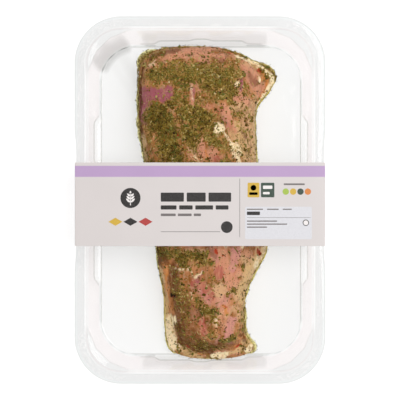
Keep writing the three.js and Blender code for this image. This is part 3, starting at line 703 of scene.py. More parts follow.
def tray_surface():
    """The rings of the tray's two faces, with how much of a fold and how hazy each point is. Each level's
    corner in the profile is replaced by a quadratic curve that begins and ends its rounding length away along
    the profile, long straight stretches are divided, and the faces lie half the sheet's thickness to either
    side along the normal. The fused flange and its lip are hazy, and a few places below the ledge carry
    painted shade through the same hazy value and a faint fold."""
    levels = tray_levels()
    rings = [levels[0][-1]]
    folds = [(0, 0)]
    for before, (reach, along_sides, round_corners, here), after in zip(levels, levels[1:], levels[2:]):
        start = here + unit(before[-1] - here) * reach
        end = here + unit(after[-1] - here) * reach
        straight = np.linalg.norm(start - rings[-1], axis=1).max()
        pieces = int(np.ceil(straight / LONGEST_STEP))
        rings += [lerp(rings[-1], start, t) for t in np.linspace(0, 1, pieces + 1)[1:-1]]
        folds += [(0, 0)] * (pieces - 1)
        # Six points round the corner. The foot's fold also darkens its flatter side, which shows from above.
        shares = (0, 1 if here[0, 2] == FOOT_HEIGHT else 0, 1, 0, 0, 0)
        rings += [corner_curve(start, here, end, t) for t in np.linspace(0, 1, len(shares))]
        folds += [(share * along_sides, share * round_corners) for share in shares]
    rings = np.array([*rings, levels[-1][-1]])
    folds = np.array([*folds, (0, 0)])
    x, y = np.abs(rings[..., 0]), np.abs(rings[..., 1])
    along_x = smoothstep(CORNER_FROM["x"] + CORNER_FROM["blend"], CORNER_FROM["x"], x)
    along_y = smoothstep(CORNER_FROM["y"] + CORNER_FROM["blend"], CORNER_FROM["y"], y)
    straight = np.maximum(along_x, along_y)
    z = rings[..., 2]
    on_long = (y < LONG_PANEL["half"]) & (x > y - LONG_PANEL_BESIDE)
    on_short = (x < SHORT_PANEL["half"] + SHORT_PANEL_MARGIN) & (y > SHORT_PANEL_BEYOND)
    at_foot = (z > FLOOR_HEIGHT + 1) & (z < FOOT_HEIGHT + 3)
    fold = lerp(folds[:, 1:], folds[:, :1], straight) * np.where(at_foot, on_long | on_short, 1)
    outer = (z > LEDGE_HEIGHT + 2) & (np.arange(len(rings)) >= len(rings) - LIP_ROWS)[:, None]
    ledge = smoothstep(LEDGE_HEIGHT - 1, LEDGE_HEIGHT, z) * (1 - straight)
    # Painted shade: these strokes darken the sheet below the ledge, through the hazy value and a faint fold
    # line.
    painted_shade_on_tray = stroke_weight(rings[..., 0], rings[..., 1], PAINTED_TRAY_SHADE) * (z < LEDGE_HEIGHT)
    fold = np.maximum(fold, 0.2 * painted_shade_on_tray)
    hazy = np.maximum((z > RIM_HEIGHT - 0.3) | outer, np.maximum(0.8 * ledge, painted_shade_on_tray))
    half_sheet = grid_normals(rings) * SHEET / 2
    faces = np.concatenate([rings + half_sheet, (rings - half_sheet)[::-1]])
    return faces, np.concatenate([fold, fold[::-1]]), np.concatenate([hazy, hazy[::-1]])


def film_surface(ripple):
    """The film's top and underside: rings shrink from its outline to its middle, and in the tray's opening
    both faces rise together in slack ripples, the deepest near the corners."""
    half_width, half_length = TRAY_HALF_WIDTH - FILM_INSET, TRAY_HALF_LENGTH - FILM_INSET
    outline = tray_ring(0, half_width, half_length, TRAY_CORNER_RADIUS - FILM_INSET)[::2, :2]
    share = 1 - np.linspace(0, 1, FILM_RINGS + 1)[:-1] ** 1.4
    flat = share[:, None, None] * outline[None]
    spot = np.dstack([flat, np.zeros(flat.shape[:2])])
    inside = smoothstep(FILM_OPENING, 0.80, share)[:, None]
    corner = smoothstep(40, 110, np.abs(flat).sum(-1))
    waves = noise(spot, (26, 14, 9), 3) + 0.5 * noise(spot, (9, 17, 9), 4)
    seal = SEAL_HEIGHT * (smoothstep(0.936, 0.93, share) * smoothstep(FILM_OPENING, 0.905, share))[:, None]
    lift = inside * ripple * (0.7 + waves / 1.5) * (0.25 + 0.75 * corner) + seal
    top = np.dstack([flat, RIM_HEIGHT + FILM_THICKNESS + lift])
    under = np.dstack([flat, RIM_HEIGHT + lift])
    return np.concatenate([under[::-1], top])


# Sleeve and print.


def sleeve_section(inset):
    """The sleeve's section across the pack as X and Z, counterclockwise seen from the front: a trapezium,
    wider at the top, whose folds are quadratic curves."""
    top = SLEEVE_TOP - inset
    corners = np.array(
        [
            (inset - SLEEVE_HALF_TOP, top),
            (SLEEVE_HALF_TOP - inset, top),
            (SLEEVE_HALF_BOTTOM - inset, inset),
            (inset - SLEEVE_HALF_BOTTOM, inset),
        ]
    )
    radius = SLEEVE_FOLD_RADIUS - inset / 2
    section = []
    for i, corner in enumerate(corners):
        start = corner + unit(corners[i - 1] - corner) * radius
        end = corner + unit(corners[(i + 1) % 4] - corner) * radius
        t = np.linspace(0, 1, FOLD_POINTS)[:, None]
        section.append(corner_curve(start, corner, end, t))
        following = corners[(i + 1) % 4] + unit(corner - corners[(i + 1) % 4]) * radius
        section.append(lerp(end, following, np.linspace(0, 1, POINTS_BETWEEN_FOLDS + 2)[1:-1, None]))
    return np.concatenate(section)[::-1]


def sleeve_surface():
    """The sleeve as a ring of card: rows go round the pack, and columns go along its outer face and back
    along its inner one, with the cut edges between them slightly rounded by a shorter first and last row."""
    outer, inner = sleeve_section(0), sleeve_section(BOARD)
    across = np.linspace(0, 1, POINTS_ALONG_SLEEVE)
    bevel = 0.06
    y_outer = lerp(SLEEVE_FRONT + bevel, SLEEVE_BACK - bevel, across)
    columns = [(outer, y) for y in y_outer]
    columns += [(lerp(outer, inner, 0.2), SLEEVE_BACK), (lerp(outer, inner, 0.8), SLEEVE_BACK)]
    columns += [(inner, y) for y in y_outer[::-1]]
    columns += [(lerp(outer, inner, 0.8), SLEEVE_FRONT), (lerp(outer, inner, 0.2), SLEEVE_FRONT)]
    points = [np.insert(section, 1, y, axis=1) for section, y in columns]
    points = np.stack(points, 1)
    raw = np.zeros(points.shape[:2])
    raw[:, POINTS_ALONG_SLEEVE + 1 :] = 1
    return points, raw


def cartonboard(settings):
    """Coated cartonboard, printed and varnished: white board with a satin face, a faint mottle from its
    fibres, and a raw greyish inner side. The stripe runs round the sleeve along one of its edges."""
    material, node = new_material("varnished_cartonboard")
    place = node("TexCoord", out="Object")
    y = node("SeparateXYZ", {0: place}, out="Y")
    length = (SLEEVE_BACK - SLEEVE_FRONT) * MM
    along = node("MapRange", {0: y, 1: SLEEVE_FRONT * MM, 2: SLEEVE_BACK * MM})
    start = settings.stripe_from / length - SLEEVE_FRONT * MM / length
    end = settings.stripe_to / length - SLEEVE_FRONT * MM / length
    board, stripe = tuple(settings.board_colour), tuple(settings.stripe_colour)
    edge = 0.002
    printed = node(
        "ValToRGB", {"Fac": along},
        stops=[(start - edge, board), (start + edge, stripe), (end - edge, stripe), (end + edge, board)],
    )
    fibres = {"Vector": place, "Scale": pattern_scale(1.1111), "Detail": 3.0, "Roughness": 0.6}
    fibres = node("TexNoise", fibres)
    mottle = node("TexNoise", {"Vector": place, "Scale": pattern_scale(22.222), "Detail": 2.0})
    tone = node("MapRange", {0: mottle, 1: 0.3, 2: 0.7, 3: 0.975})
    toned = node("Mix", {0: 1.0, 6: printed, 7: tone}, data_type="RGBA", blend_type="MULTIPLY", out=2)
    inner = node("Attribute", attribute_name="raw", out="Fac")
    colour = node("Mix", {0: inner, 6: toned, 7: tuple(settings.raw_colour)}, data_type="RGBA", out=2)
    rough = node("MapRange", {0: inner, 3: 0.42, 4: 0.85})
    bump = node("Bump", {"Strength": 0.35, "Distance": 0.05 * MM, "Height": fibres})
    look = {"Base Color": colour, "Roughness": rough, "Normal": bump, "Specular IOR Level": 0.3}
    node("OutputMaterial", {"Surface": node("BsdfPrincipled", look)})
    return material


def printing_ink(name, hex_colour):
    """Offset ink under varnish: an even colour with the slightest unevenness of a printed solid."""
    material, node = new_material(name)
    place = node("TexCoord", out="Object")
    grain = node("TexNoise", {"Vector": place, "Scale": pattern_scale(0.4), "Detail": 1.0})
    colour = linear(hex_colour)
    lighter = tuple(min(1, 0.03 + 1.05 * c) for c in colour)
    mottle = node("ValToRGB", {"Fac": grain}, stops=[(0.35, colour), (0.65, lighter)])
    look = {"Base Color": mottle, "Roughness": 0.4, "Specular IOR Level": 0.3}
    node("OutputMaterial", {"Surface": node("BsdfPrincipled", look)})
    return material


def bar(x0, x1, y0, y1, corner):
    """A rounded bar's outline."""
    corner = min(corner, (x1 - x0) / 2, (y1 - y0) / 2)
    angle = np.linspace(0, np.pi / 2, 5)
    quarter = corner * np.stack([np.cos(angle), np.sin(angle)], -1)
    turns = [((x1, y1), (1, 1)), ((x0, y1), (-1, 1)), ((x0, y0), (-1, -1)), ((x1, y0), (1, -1))]
    outline = []
    for i, (point, away) in enumerate(turns):
        arc = quarter * away if i % 2 == 0 else (quarter * away)[::-1]
        outline.append(np.array(point) - corner * np.array(away) + arc)
    return np.concatenate(outline)


def disc(x, y, radius, sides):
    """A circle's outline."""
    angle = np.arange(sides) * 2 * np.pi / sides
    return np.stack([x + radius * np.cos(angle), y + radius * np.sin(angle)], -1)


def leaf(x, y, length, width, heading):
    """A pointed leaf's outline, from its stalk end at x, y: its half width is a sine over its length."""
    t = np.linspace(0, 1, 9)
    half = width / 2 * np.sin(np.pi * t)
    along = np.concatenate([t, t[-2:0:-1]]) * length
    across = np.concatenate([-half, half[-2:0:-1]])
    c, s = np.cos(heading), np.sin(heading)
    return np.stack([x + c * along - s * across, y + s * along + c * across], -1)


def printed_fields(name, outlines, material, layer):
    """Flat prints that stand a few hundredths of a millimetre proud of the sleeve's top: each outline,
    counterclockwise, becomes a closed slab. A higher layer lies on the one below it."""
    points, faces, first = [], [], 0
    low, high = SLEEVE_TOP + 0.004, SLEEVE_TOP + 0.02 * layer
    for outline in outlines:
        n = len(outline)
        k = np.arange(n)
        after = (k + 1) % n
        points += [np.column_stack([outline, np.full(n, low)]), np.column_stack([outline, np.full(n, high)])]
        faces += [
            (first + k[::-1])[None],
            (first + n + k)[None],
            np.stack([first + k, first + after, first + n + after, first + n + k], -1),
        ]
        first += 2 * n
    put_piece(name, np.concatenate(points), faces, material, crease=0.5)


def print_layout():
    """The print: generic fields of colour, bars in place of words, a sprig on a roundel, and a pale panel.
    Returns for each ink its outlines, colour and layer."""
    charcoal, grey, pale, white, green, ochre, red, lime, orange = ([] for _ in range(9))
    # A roundel with a sprig, and three lozenges under it.
    charcoal.append(disc(-41.5, 1.2, 6.0, 56))
    white.append(bar(-41.75, -41.25, -3.2, 4.2, 0.2))
    for y in (-1.6, 0.2, 2.0):
        for heading in (0.75, np.pi - 0.75):
            white.append(leaf(-41.5, y, 3.3 - 0.25 * y, 1.25, heading))
    white.append(leaf(-41.5, 3.4, 2.2, 1.1, np.pi / 2))
    for store, x in ((ochre, -50.5), (charcoal, -41.5), (red, -32.5)):
        store.append(np.array([(x - 4.2, -13.0), (x, -15.4), (x + 4.2, -13.0), (x, -10.6)]))
    # Bars where a title and its second and third lines would be.
    for x0, x1 in ((-23.4, -9.6), (-7.9, 3.4), (5.1, 18.6)):
        charcoal.append(bar(x0, x1, -1.0, 4.4, 0.5))
    for x0, x1 in ((-23.4, -14.0), (-12.4, -4.4), (-2.8, 7.8), (9.4, 17.0)):
        charcoal.append(bar(x0, x1, -5.7, -3.2, 0.4))
    for x0, x1 in ((-23.4, -14.5), (-13.2, -5.0), (-3.7, 0.6)):
        grey.append(bar(x0, x1, -9.6, -8.1, 0.3))
    grey.append(bar(-23.4, 12.0, -19.1, -18.8, 0.1))
    charcoal.append(disc(16.0, -16.2, 3.5, 48))
    # The fold-side information block: divider, two small fields, four dots, panel and small lines.
    grey.append(bar(23.6, 23.85, -22.2, 12.8, 0.1))
    green.append(bar(36.4, 44.4, 1.6, 10.3, 0.6))
    ochre.append(bar(28.4, 35.4, 1.6, 10.3, 0.6))
    white.append(bar(37.6, 43.2, 6.6, 8.6, 0.4))
    white.append(bar(37.6, 41.6, 3.4, 4.8, 0.4))
    charcoal.append(bar(29.4, 34.4, 3.0, 4.6, 0.4))
    charcoal.append(disc(31.9, 7.3, 1.7, 32))
    for store, x in ((lime, 51.2), (ochre, 55.6), (green, 60.0), (orange, 64.4)):
        store.append(disc(x, 5.0, 1.9, 32))
    grey.append(bar(50.0, 62.5, 8.9, 9.9, 0.3))
    pale.append(bar(27.0, 66.8, -23.4, -4.0, 0.8))
    for x0, x1 in ((28.0, 37.6), (40.0, 47.0), (49.4, 54.8)):
        grey.append(bar(x0, x1, -5.9, -5.2, 0.2))
    charcoal.append(bar(28.0, 35.8, -9.0, -6.9, 0.4))
    grey.append(bar(28.0, 66.0, -10.6, -10.4, 0.08))
    for x0, x1, y in ((28.0, 46.0, -12.6), (28.0, 52.0, -14.4), (28.0, 40.0, -16.2)):
        grey.append(bar(x0, x1, y - 0.35, y + 0.35, 0.2))
    charcoal.append(disc(63.2, -13.6, 1.9, 32))
    white.append(disc(63.2, -13.6, 1.45, 32))
    return {
        "print_panel": (pale, "#D1D0D4", 1),
        "print_green": (green, "#34453A", 2),
        "print_ochre": (ochre, "#C9A53A", 2),
        "print_red": (red, "#A93A36", 2),
        "print_lime": (lime, "#9DB548", 2),
        "print_orange": (orange, "#CF7F3C", 2),
        "print_grey": (grey, "#6E6866", 2),
        "print_charcoal": (charcoal, "#252120", 2),
        "print_white": (white, "#E6E0DE", 3),
    }


# The tenderloin's form, as in the CAD source.


def station_at(y):
    """The stations' values at any y: a cubic between two rows, with slopes from the rows on either side."""
    rows = MEAT_STATIONS
    last = len(rows) - 1
    in_range = np.clip(y, rows[last, 0], rows[0, 0])
    i = np.minimum(np.searchsorted(-rows[:, 0], -in_range, side="right") - 1, last - 1)
    a, b = rows[i], rows[i + 1]
    before, after = rows[np.maximum(i - 1, 0)], rows[np.minimum(i + 2, last)]
    span = b[:, :1] - a[:, :1]
    t = (in_range[:, None] - a[:, :1]) / span
    start_slope = (b - before) / (b[:, :1] - before[:, :1]) * span
    end_slope = (after - a) / (after[:, :1] - a[:, :1]) * span
    blend = lerp(a, b, t * t * (3 - 2 * t))
    return (blend + start_slope * t * (1 - t) ** 2 - end_slope * t * t * (1 - t))[:, 1:].T


def end_share(ends, y):
    """How full the meat is near its ends: 1 in the middle, 0 at the end, with a round shoulder."""
    return rounded(np.minimum(ends["thick"] - y, y - ends["thin"]) / ends["cap"], END_EXPONENT)


def drawn_together(left, right, share):
    """Two edges moved towards the middle between them."""
    middle = (left + right) / 2
    return lerp(middle, left, share), lerp(middle, right, share)


def dome_share(x, left, right, shift):
    """The height share of a dome between two edges, with its highest line moved sideways by a shift."""
    s = (2 * x - left - right) / (right - left)
    return rounded(1 - np.abs(s - shift * (1 - s * s)), DOME_EXPONENT)


def lumps(x, y):
    """Sine waves from the longest to the shortest, each turned by the golden angle from the one before."""
    total = 0
    for i in range(LUMP_WAVES):
        length = LUMP_LONGEST * (LUMP_SHORTEST / LUMP_LONGEST) ** (i / (LUMP_WAVES - 1))
        along = x * np.cos(i * GOLDEN_ANGLE) + y * np.sin(i * GOLDEN_ANGLE)
        total = total + LUMP_HEIGHT * length * np.sin(2 * np.pi * along / length + LUMP_PHASE * i)
    return total


def meat_section(y, across, under):
    """Points across the meat at each y, as X, Y and Z: across runs from 0 at the left edge to 1 at the right,
    over the top or along the underside. Also returns how far each point lies in from the outline."""
    body_left, body_right, left, right, height = station_at(y)
    body_share, fringe_share = end_share(BODY_ENDS, y), end_share(FRINGE_ENDS, y)
    left_overhang = np.clip((body_left - left) / FRINGE_OVERHANG, 0, 1)
    right_overhang = np.clip((right - body_right) / FRINGE_OVERHANG, 0, 1)
    edge_left = lerp(BODY_EDGE_HEIGHT, FRINGE_EDGE_HEIGHT, left_overhang)[:, None]
    edge_right = lerp(BODY_EDGE_HEIGHT, FRINGE_EDGE_HEIGHT, right_overhang)[:, None]
    edges = [edge[:, None] for edge in drawn_together(left, right, fringe_share)]
    share = lerp(fringe_share, body_share, 0.5)
    body_edges = [edge[:, None] for edge in drawn_together(body_left, body_right, share)]
    column = y[:, None]
    x = lerp(*edges, across[None])
    edge_height = lerp(edge_left, edge_right, across[None])
    to_end = np.minimum(FRINGE_ENDS["thick"] - column, column - FRINGE_ENDS["thin"])
    inside = np.maximum(0, np.minimum(np.minimum(x - edges[0], edges[1] - x), to_end))
    if under:
        z = edge_height * (1 - rounded(inside / edge_height, 2))
    else:
        body = ((height - BODY_EDGE_HEIGHT) * body_share)[:, None] * dome_share(x, *body_edges, RIDGE_SHIFT)
        fringe = (FRINGE_RISE * fringe_share)[:, None] * dome_share(x, *edges, 0)
        groove = sum(d * np.exp(-((distance_to_path(x, column, path) / w) ** 2)) for path, d, w in SEAMS)
        relief = smoothstep(0, CALM_EDGE, inside) * (lumps(x, column) - groove)
        z = edge_height + np.hypot(body, fringe) + relief
    return np.dstack([x, np.broadcast_to(column, x.shape), FLOOR_HEIGHT + z]), inside


def meat_rings():
    """The places of the rings along the meat: a quarter cosine in each rounded end, even steps between."""
    step = 1 - np.cos(np.pi / 2 * np.arange(1, CAP_RINGS + 1) / CAP_RINGS)
    thin, thick = FRINGE_ENDS["thin"], FRINGE_ENDS["thick"]
    middle = np.linspace(thin + CAP_LENGTH, thick - CAP_LENGTH, MIDDLE_RINGS + 2)[1:-1]
    return np.concatenate([thin + CAP_LENGTH * step, middle, (thick - CAP_LENGTH * step)[::-1]])


def grid_normals(rings):
    """Outward unit normals of rings of points, from the directions round and along."""
    around = np.roll(rings, -1, axis=1) - np.roll(rings, 1, axis=1)
    return unit(np.cross(around, np.gradient(rings, axis=0)))


def stroke_weight(x, y, strokes):
    """How far each point lies in any of the strokes, from 0 to 1, falling softly about a stroke's width from
    its path."""
    weight = np.zeros(np.shape(x))
    for path, width, strength in strokes:
        reach = distance_to_path(x, y, path) / width
        weight = np.maximum(weight, strength * (1 - smoothstep(0.45, 1.35, reach)))
    return weight


def meat_surface(crust):
    """The rings of the meat with its fine relief, how far each point lies in from the outline, and values for
    the material at each point. The relief is added along the normal: lumps a few millimetres wide, muscle
    fibres along the piece, and a rough crust where herbs lie. None of it presses into the tray's floor."""
    y = meat_rings()
    over = (1 - np.cos(np.pi * np.arange(POINTS_OVER) / POINTS_OVER)) / 2
    under = (1 + np.cos(np.pi * np.arange(POINTS_UNDER) / POINTS_UNDER)) / 2
    top, top_inside = meat_section(y, over, under=False)
    bottom, bottom_inside = meat_section(y, under, under=True)
    rings = np.concatenate([top, bottom], axis=1)
    inside = np.concatenate([top_inside, bottom_inside], axis=1)
    x, y, z = np.moveaxis(rings, -1, 0)
    # The strokes are looked up at places that wander a millimetre or two, which frays their edges.
    frayed_x = x + 1.3 * noise(rings, (3.2, 6, 4), 11) + 0.8 * noise(rings, (1.1, 2.4, 2), 12)
    frayed_y = y + 1.6 * noise(rings, (3.2, 6, 4), 24) + 0.9 * noise(rings, (1.1, 2.4, 2), 25)
    values = {name: stroke_weight(frayed_x, frayed_y, strokes) for name, strokes in TISSUES_AND_PAINTED_SHADING.items()}
    hidden = smoothstep(30, 24, np.abs(y + 2.5))
    for name, most, low, high, size, seed in (
        ("salmon", 0.8, 0.2, 0.45, (7, 14, 9), 21), ("fat", 0.7, 0.5, 0.65, (5, 8, 9), 22)
    ):
        patches = hidden * most * smoothstep(low, high, noise(rings, size, seed))
        values[name] = np.maximum(values[name], patches)
    bare = np.max([values[name] for name in ("salmon", "red_lean", "pink", "mauve", "orange")], axis=0) ** 0.7
    scattered = lerp(0.20, 0.42, smoothstep(-20, 30, y))
    scattered = scattered + 0.30 * noise(rings, 7, 13) + 0.22 * noise(rings, 2.6, 14)
    herbs = np.clip(scattered, 0.05, 1) * (1 - 0.8 * bare)
    for name, kept_off in (("fat", 0.72), ("tan", 0.5), ("golden", 0.35)):
        herbs = herbs * (1 - kept_off * values[name])
    zones = stroke_weight(frayed_x, frayed_y, HERB_ZONES) * (0.8 + 0.2 * noise(rings, 2.2, 15))
    edge = 1 - smoothstep(0.2, 1.2, inside + 0.5 * noise(rings, 2, 26))
    edge *= smoothstep(2, 6, z - FLOOR_HEIGHT) * (1 - 0.6 * values["shade"]) * smoothstep(93, 86, np.abs(y))
    for name in ("golden", "orange", "fat"):
        edge *= 1 - values[name]
    values["herbs"] = np.clip(np.maximum(np.maximum(herbs, zones), 0.7 * edge), 0, 1)
    values["dark"] = stroke_weight(frayed_x, frayed_y, DARK_ZONES)
    left, right = rings[:, :1], rings[:, POINTS_OVER : POINTS_OVER + 1]
    above = z - np.where(x < (left[..., 0] + right[..., 0]) / 2, left[..., 2], right[..., 2])
    # Painted light along the outline where it shows from above: the oil's yellow, lightened as if light shone
    # through the oil at the steep edge.
    values["rim"] = 1 - smoothstep(0.1, 0.9, inside + 0.4 * noise(rings, 2, 27))
    values["rim"] *= smoothstep(5, 2, above) * smoothstep(-3.5, -1, above)
    values["fat"] = np.clip(values["fat"] * (1.0 + 0.6 * noise(rings, (1.5, 2.2, 1.5), 23)), 0, 1)
    lump = 0.42 * noise(rings, 5.5, 16) + lerp(0.16, 0.42, values["herbs"]) * noise(rings, 2.3, 17)
    fibre = 0.13 * noise(rings, (1.4, 8, 1.6), 18) * (1 - 0.6 * values["herbs"])
    coat = crust / MM * values["herbs"] * (0.4 + noise(rings, 1.5, 19) + 0.5 * noise(rings, 0.8, 20))
    raised = 0.6 * values["fat"] + 0.15 * values["salmon"]
    free = smoothstep(0, 1.5, z - FLOOR_HEIGHT) * smoothstep(0, 1.2, inside)
    rings = rings + grid_normals(rings) * (free * (lump + fibre + coat + raised))[..., None]
    return rings, inside, values


def meat_material(settings):
    """Raw pork under an oil and herb marinade: a wet, slightly translucent protein surface. Light enters it a
    millimetre or two, so its edges glow a little, and the oil gives it a soft sheen. Muscle fibres run along
    the piece about a millimetre apart, and specks of herb dust lie wherever the marinade is."""
    material, node = new_material("marinated_raw_pork")
    place = node("TexCoord", out="Object")
    stretched = node("Mapping", {"Vector": place, "Scale": (1.0, 0.16, 1.0)})
    fibres = node("TexNoise", {"Vector": stretched, "Scale": pattern_scale(1.1111), "Detail": 3.0})
    marbling = {"Vector": place, "Scale": pattern_scale(6.6667), "Detail": 5.0, "Distortion": 0.8}
    marbling = node("TexNoise", marbling)
    blotches = node("TexNoise", {"Vector": place, "Scale": pattern_scale(2.381), "Detail": 4.0})
    specks = node("TexVoronoi", {"Vector": place, "Scale": pattern_scale(1)})
    frayed = node("MapRange", {0: blotches, 1: 0.3, 2: 0.7, 3: -0.25, 4: 0.25})

    def covered(colour, layers):
        """A colour with tints laid over it in turn. Each follows the value of its name, from nothing at the
        first number to its most, the third, at the second. One that begins above 0 has frayed edges."""
        for name, tint, low, high, most in layers:
            share = node("Attribute", attribute_name=name, out="Fac")
            if low > 0:
                share = node("Math", {0: share, 1: frayed}, operation="ADD")
            share = node("MapRange", {0: share, 1: low, 2: high, 4: most})
            colour = node("Mix", {0: share, 6: colour, 7: tint}, data_type="RGBA", out=2)
        return colour

    paleness = node("MapRange", {0: marbling, 1: 0.38, 2: 0.62})
    lean = {0: paleness, 6: linear("#8C5729"), 7: tuple(settings.lean)}
    colour = node("Mix", lean, data_type="RGBA", out=2)
    tissues = {
        "tan": linear("#D0A87E"), "salmon": tuple(settings.salmon), "red_lean": linear("#AE5E50"),
        "pink": linear("#C88B80"), "mauve": linear("#9E5865"), "orange": linear("#CC8547"),
        "golden": linear("#CFAE7A"),
    }
    colour = covered(colour, [(name, tint, 0.1, 0.8, 0.92) for name, tint in tissues.items()])
    # The fibres' paler ridges don't show on the smooth silvery skin of the mauve patches.
    mauve = node("Attribute", attribute_name="mauve", out="Fac")
    bare = node("MapRange", {0: mauve, 2: 0.6, 3: 1.0, 4: 0.15})
    paler = node("MapRange", {0: fibres, 1: 0.42, 2: 0.62, 4: 0.3})
    paler = node("Math", {0: paler, 1: bare}, operation="MULTIPLY")
    colour = node("Mix", {0: paler, 6: colour, 7: linear("#DDAE86")}, data_type="RGBA", out=2)
    dust_shades = ((0.0, "#33240A"), (0.2, "#624C1B"), (0.5, "#9A7E3C"), (1.0, "#BC9F5A"))
    dust = node("ValToRGB", {"Fac": specks}, stops=[(at, linear(shade)) for at, shade in dust_shades])
    colour = covered(colour, [
        ("herbs", dust, 0.15, 0.7, 0.92), ("dark", linear("#6A5B26"), 0.0, 1.0, 0.4),
        # The shade layer is painted shade, partly the meat's own dark brown.
        ("shade", linear("#52290E"), 0.0, 1.0, 0.85), ("fat", tuple(settings.fat_colour), 0.1, 0.7, 1.0),
        ("blood", linear("#B2462E"), 0.1, 0.7, 1.0), ("clot", linear("#241609"), 0.1, 0.7, 1.0),
        # The rim layer is the oil's yellow lightened into painted light, as if light shone through the oil at
        # the edge.
        ("rim", linear("#D8C678"), 0.0, 1.0, 0.85),
    ])
    # Dark and pale flecks under two millimetres apart: a cell's random numbers set the width and the shade of
    # its fleck, and the cells below the least number have none.
    for size, least, widest, shades, most in (
        (1.7857, 0.3, 0.34, ("#3A2208", "#7C5C26"), 0.85), (1.4286, 0.55, 0.3, ("#D8B48A", "#EAD6A8"), 0.6)
    ):
        cells = node("TexVoronoi", {"Vector": place, "Scale": pattern_scale(size)}).node.outputs
        random = node("SeparateXYZ", {0: cells["Color"]}).node.outputs
        width = node("MapRange", {0: random[0], 1: least, 3: 0.02, 4: widest})
        within = node("Math", {0: width, 1: cells["Distance"]}, operation="SUBTRACT")
        fleck = {0: random[1], 6: linear(shades[0]), 7: linear(shades[1])}
        fleck = node("Mix", fleck, data_type="RGBA", out=2)
        share = node("MapRange", {0: within, 2: 0.06, 4: most})
        colour = node("Mix", {0: share, 6: colour, 7: fleck}, data_type="RGBA", out=2)
    # Rougher where the painted shade lies, so that little sheen shows over it.
    rougher_in_painted_shade = node("MapRange", {0: node("Attribute", attribute_name="shade", out="Fac"), 4: 0.4})
    rough = {0: node("MapRange", {0: blotches, 1: 0.3, 2: 0.7, 3: 0.30, 4: 0.52}), 1: rougher_in_painted_shade}
    ridges = node("Bump", {"Strength": 0.5, "Distance": 0.25 * MM, "Height": fibres})
    grain = node("Bump", {"Strength": 0.5, "Distance": 0.3 * MM, "Height": blotches, "Normal": ridges})
    look = {
        "Base Color": colour, "Roughness": node("Math", rough, operation="ADD"), "Normal": grain,
        "Subsurface Weight": 0.12, "Subsurface Radius": (1.0, 0.45, 0.25), "Subsurface Scale": 1.2 * MM,
        "Specular IOR Level": 0.03,
    }
    node("OutputMaterial", {"Surface": node("BsdfPrincipled", look)})
    return material


# Herbs and spices.


def strewn(rng, rings, chances, count):
    """Random places on a grid of rings: cells are drawn by their area times their chance, and one point lies
    at random inside each. Returns the places, the surface's normals there, and the cells' numbers."""
    a, b, c, d = rings[:-1, :-1], rings[:-1, 1:], rings[1:, 1:], rings[1:, :-1]
    cross = np.cross(c - a, b - d).reshape(-1, 3)
    weight = np.linalg.norm(cross, axis=1) * chances.ravel()
    cell = rng.choice(len(weight), count, p=weight / weight.sum())
    u, v = rng.random((2, count, 1))
    a, b, c, d = (corner.reshape(-1, 3)[cell] for corner in (a, b, c, d))
    place = lerp(lerp(a, b, u), lerp(d, c, u), v)
    return place, -unit(cross[cell]), cell


def frames_on(rng, normals, tilt):
    """A turned frame for each normal: its third axis is the normal tilted at random, and its first points
    any way across it. Each frame's rows are its axes."""
    up = unit(normals + tilt * rng.normal(size=normals.shape))
    heading = unit(np.cross(up, rng.normal(size=normals.shape)))
    return np.stack([heading, np.cross(up, heading), up], 1)


def grain_form(ring_places, ring_sizes, sides):
    """A small closed form about the X axis, from -0.5 to 0.5 each way: rings of points between two tips."""
    angle = np.arange(sides) * 2 * np.pi / sides + np.pi / 2
    ring = np.stack([np.zeros(sides), np.cos(angle) / 2, np.sin(angle) / 2], -1)
    rings = np.array([ring * size + (place, 0, 0) for place, size in zip(ring_places, ring_sizes)])
    return closed_loft(rings, (-0.5, 0, 0), (0.5, 0, 0))


def copies(form, places, frames, sizes, jitter, bend=None):
    """Many copies of a form as one mesh. Each is stretched to its size, has its points moved outwards or
    inwards by its own jitter, is bent by the square of its length, and is then turned and placed."""
    points, faces = form
    shaped = points[None] * (1 + jitter[..., None]) * sizes[:, None]
    if bend is not None:
        shaped[..., 1:] += (bend[:, None] * points[None, :, :1] ** 2) * sizes[:, None, :1]
    turned = np.einsum("nvk,nkj->nvj", shaped, frames) + places[:, None]
    first = (np.arange(len(places)) * len(points))[:, None, None]
    joined = [(group[None] + first).reshape(-1, group.shape[1]) for group in faces]
    return turned.reshape(-1, 3), joined


def herb_material(name, stops, green, roughness):
    """Dried herb soaked in oil: a matt leaf that has darkened and swelled, from black-brown to straw, some
    of it still green, with pale veins and a thin wet sheen."""
    material, node = new_material(name)
    tone = node("Attribute", attribute_name="tone", out="Fac")
    fresh = node("Attribute", attribute_name="fresh", out="Fac")
    place = node("TexCoord", out="Object")
    veins = node("TexNoise", {"Vector": place, "Scale": pattern_scale(0.5556), "Detail": 2.0})
    shift = node("MapRange", {0: veins, 1: 0.3, 2: 0.7, 3: -0.12, 4: 0.12})
    toned = node("Math", {0: tone, 1: shift}, operation="ADD")
    dried = node("ValToRGB", {"Fac": toned}, stops=[(at, linear(shade)) for at, shade in stops])
    colour = node("Mix", {0: fresh, 6: dried, 7: linear(green)}, data_type="RGBA", out=2)
    bump = node("Bump", {"Strength": 0.4, "Distance": 0.1 * MM, "Height": veins})
    look = {"Base Color": colour, "Roughness": roughness, "Normal": bump, "Specular IOR Level": 0.06}
    node("OutputMaterial", {"Surface": node("BsdfPrincipled", look)})
    return material


# Oil round the meat.


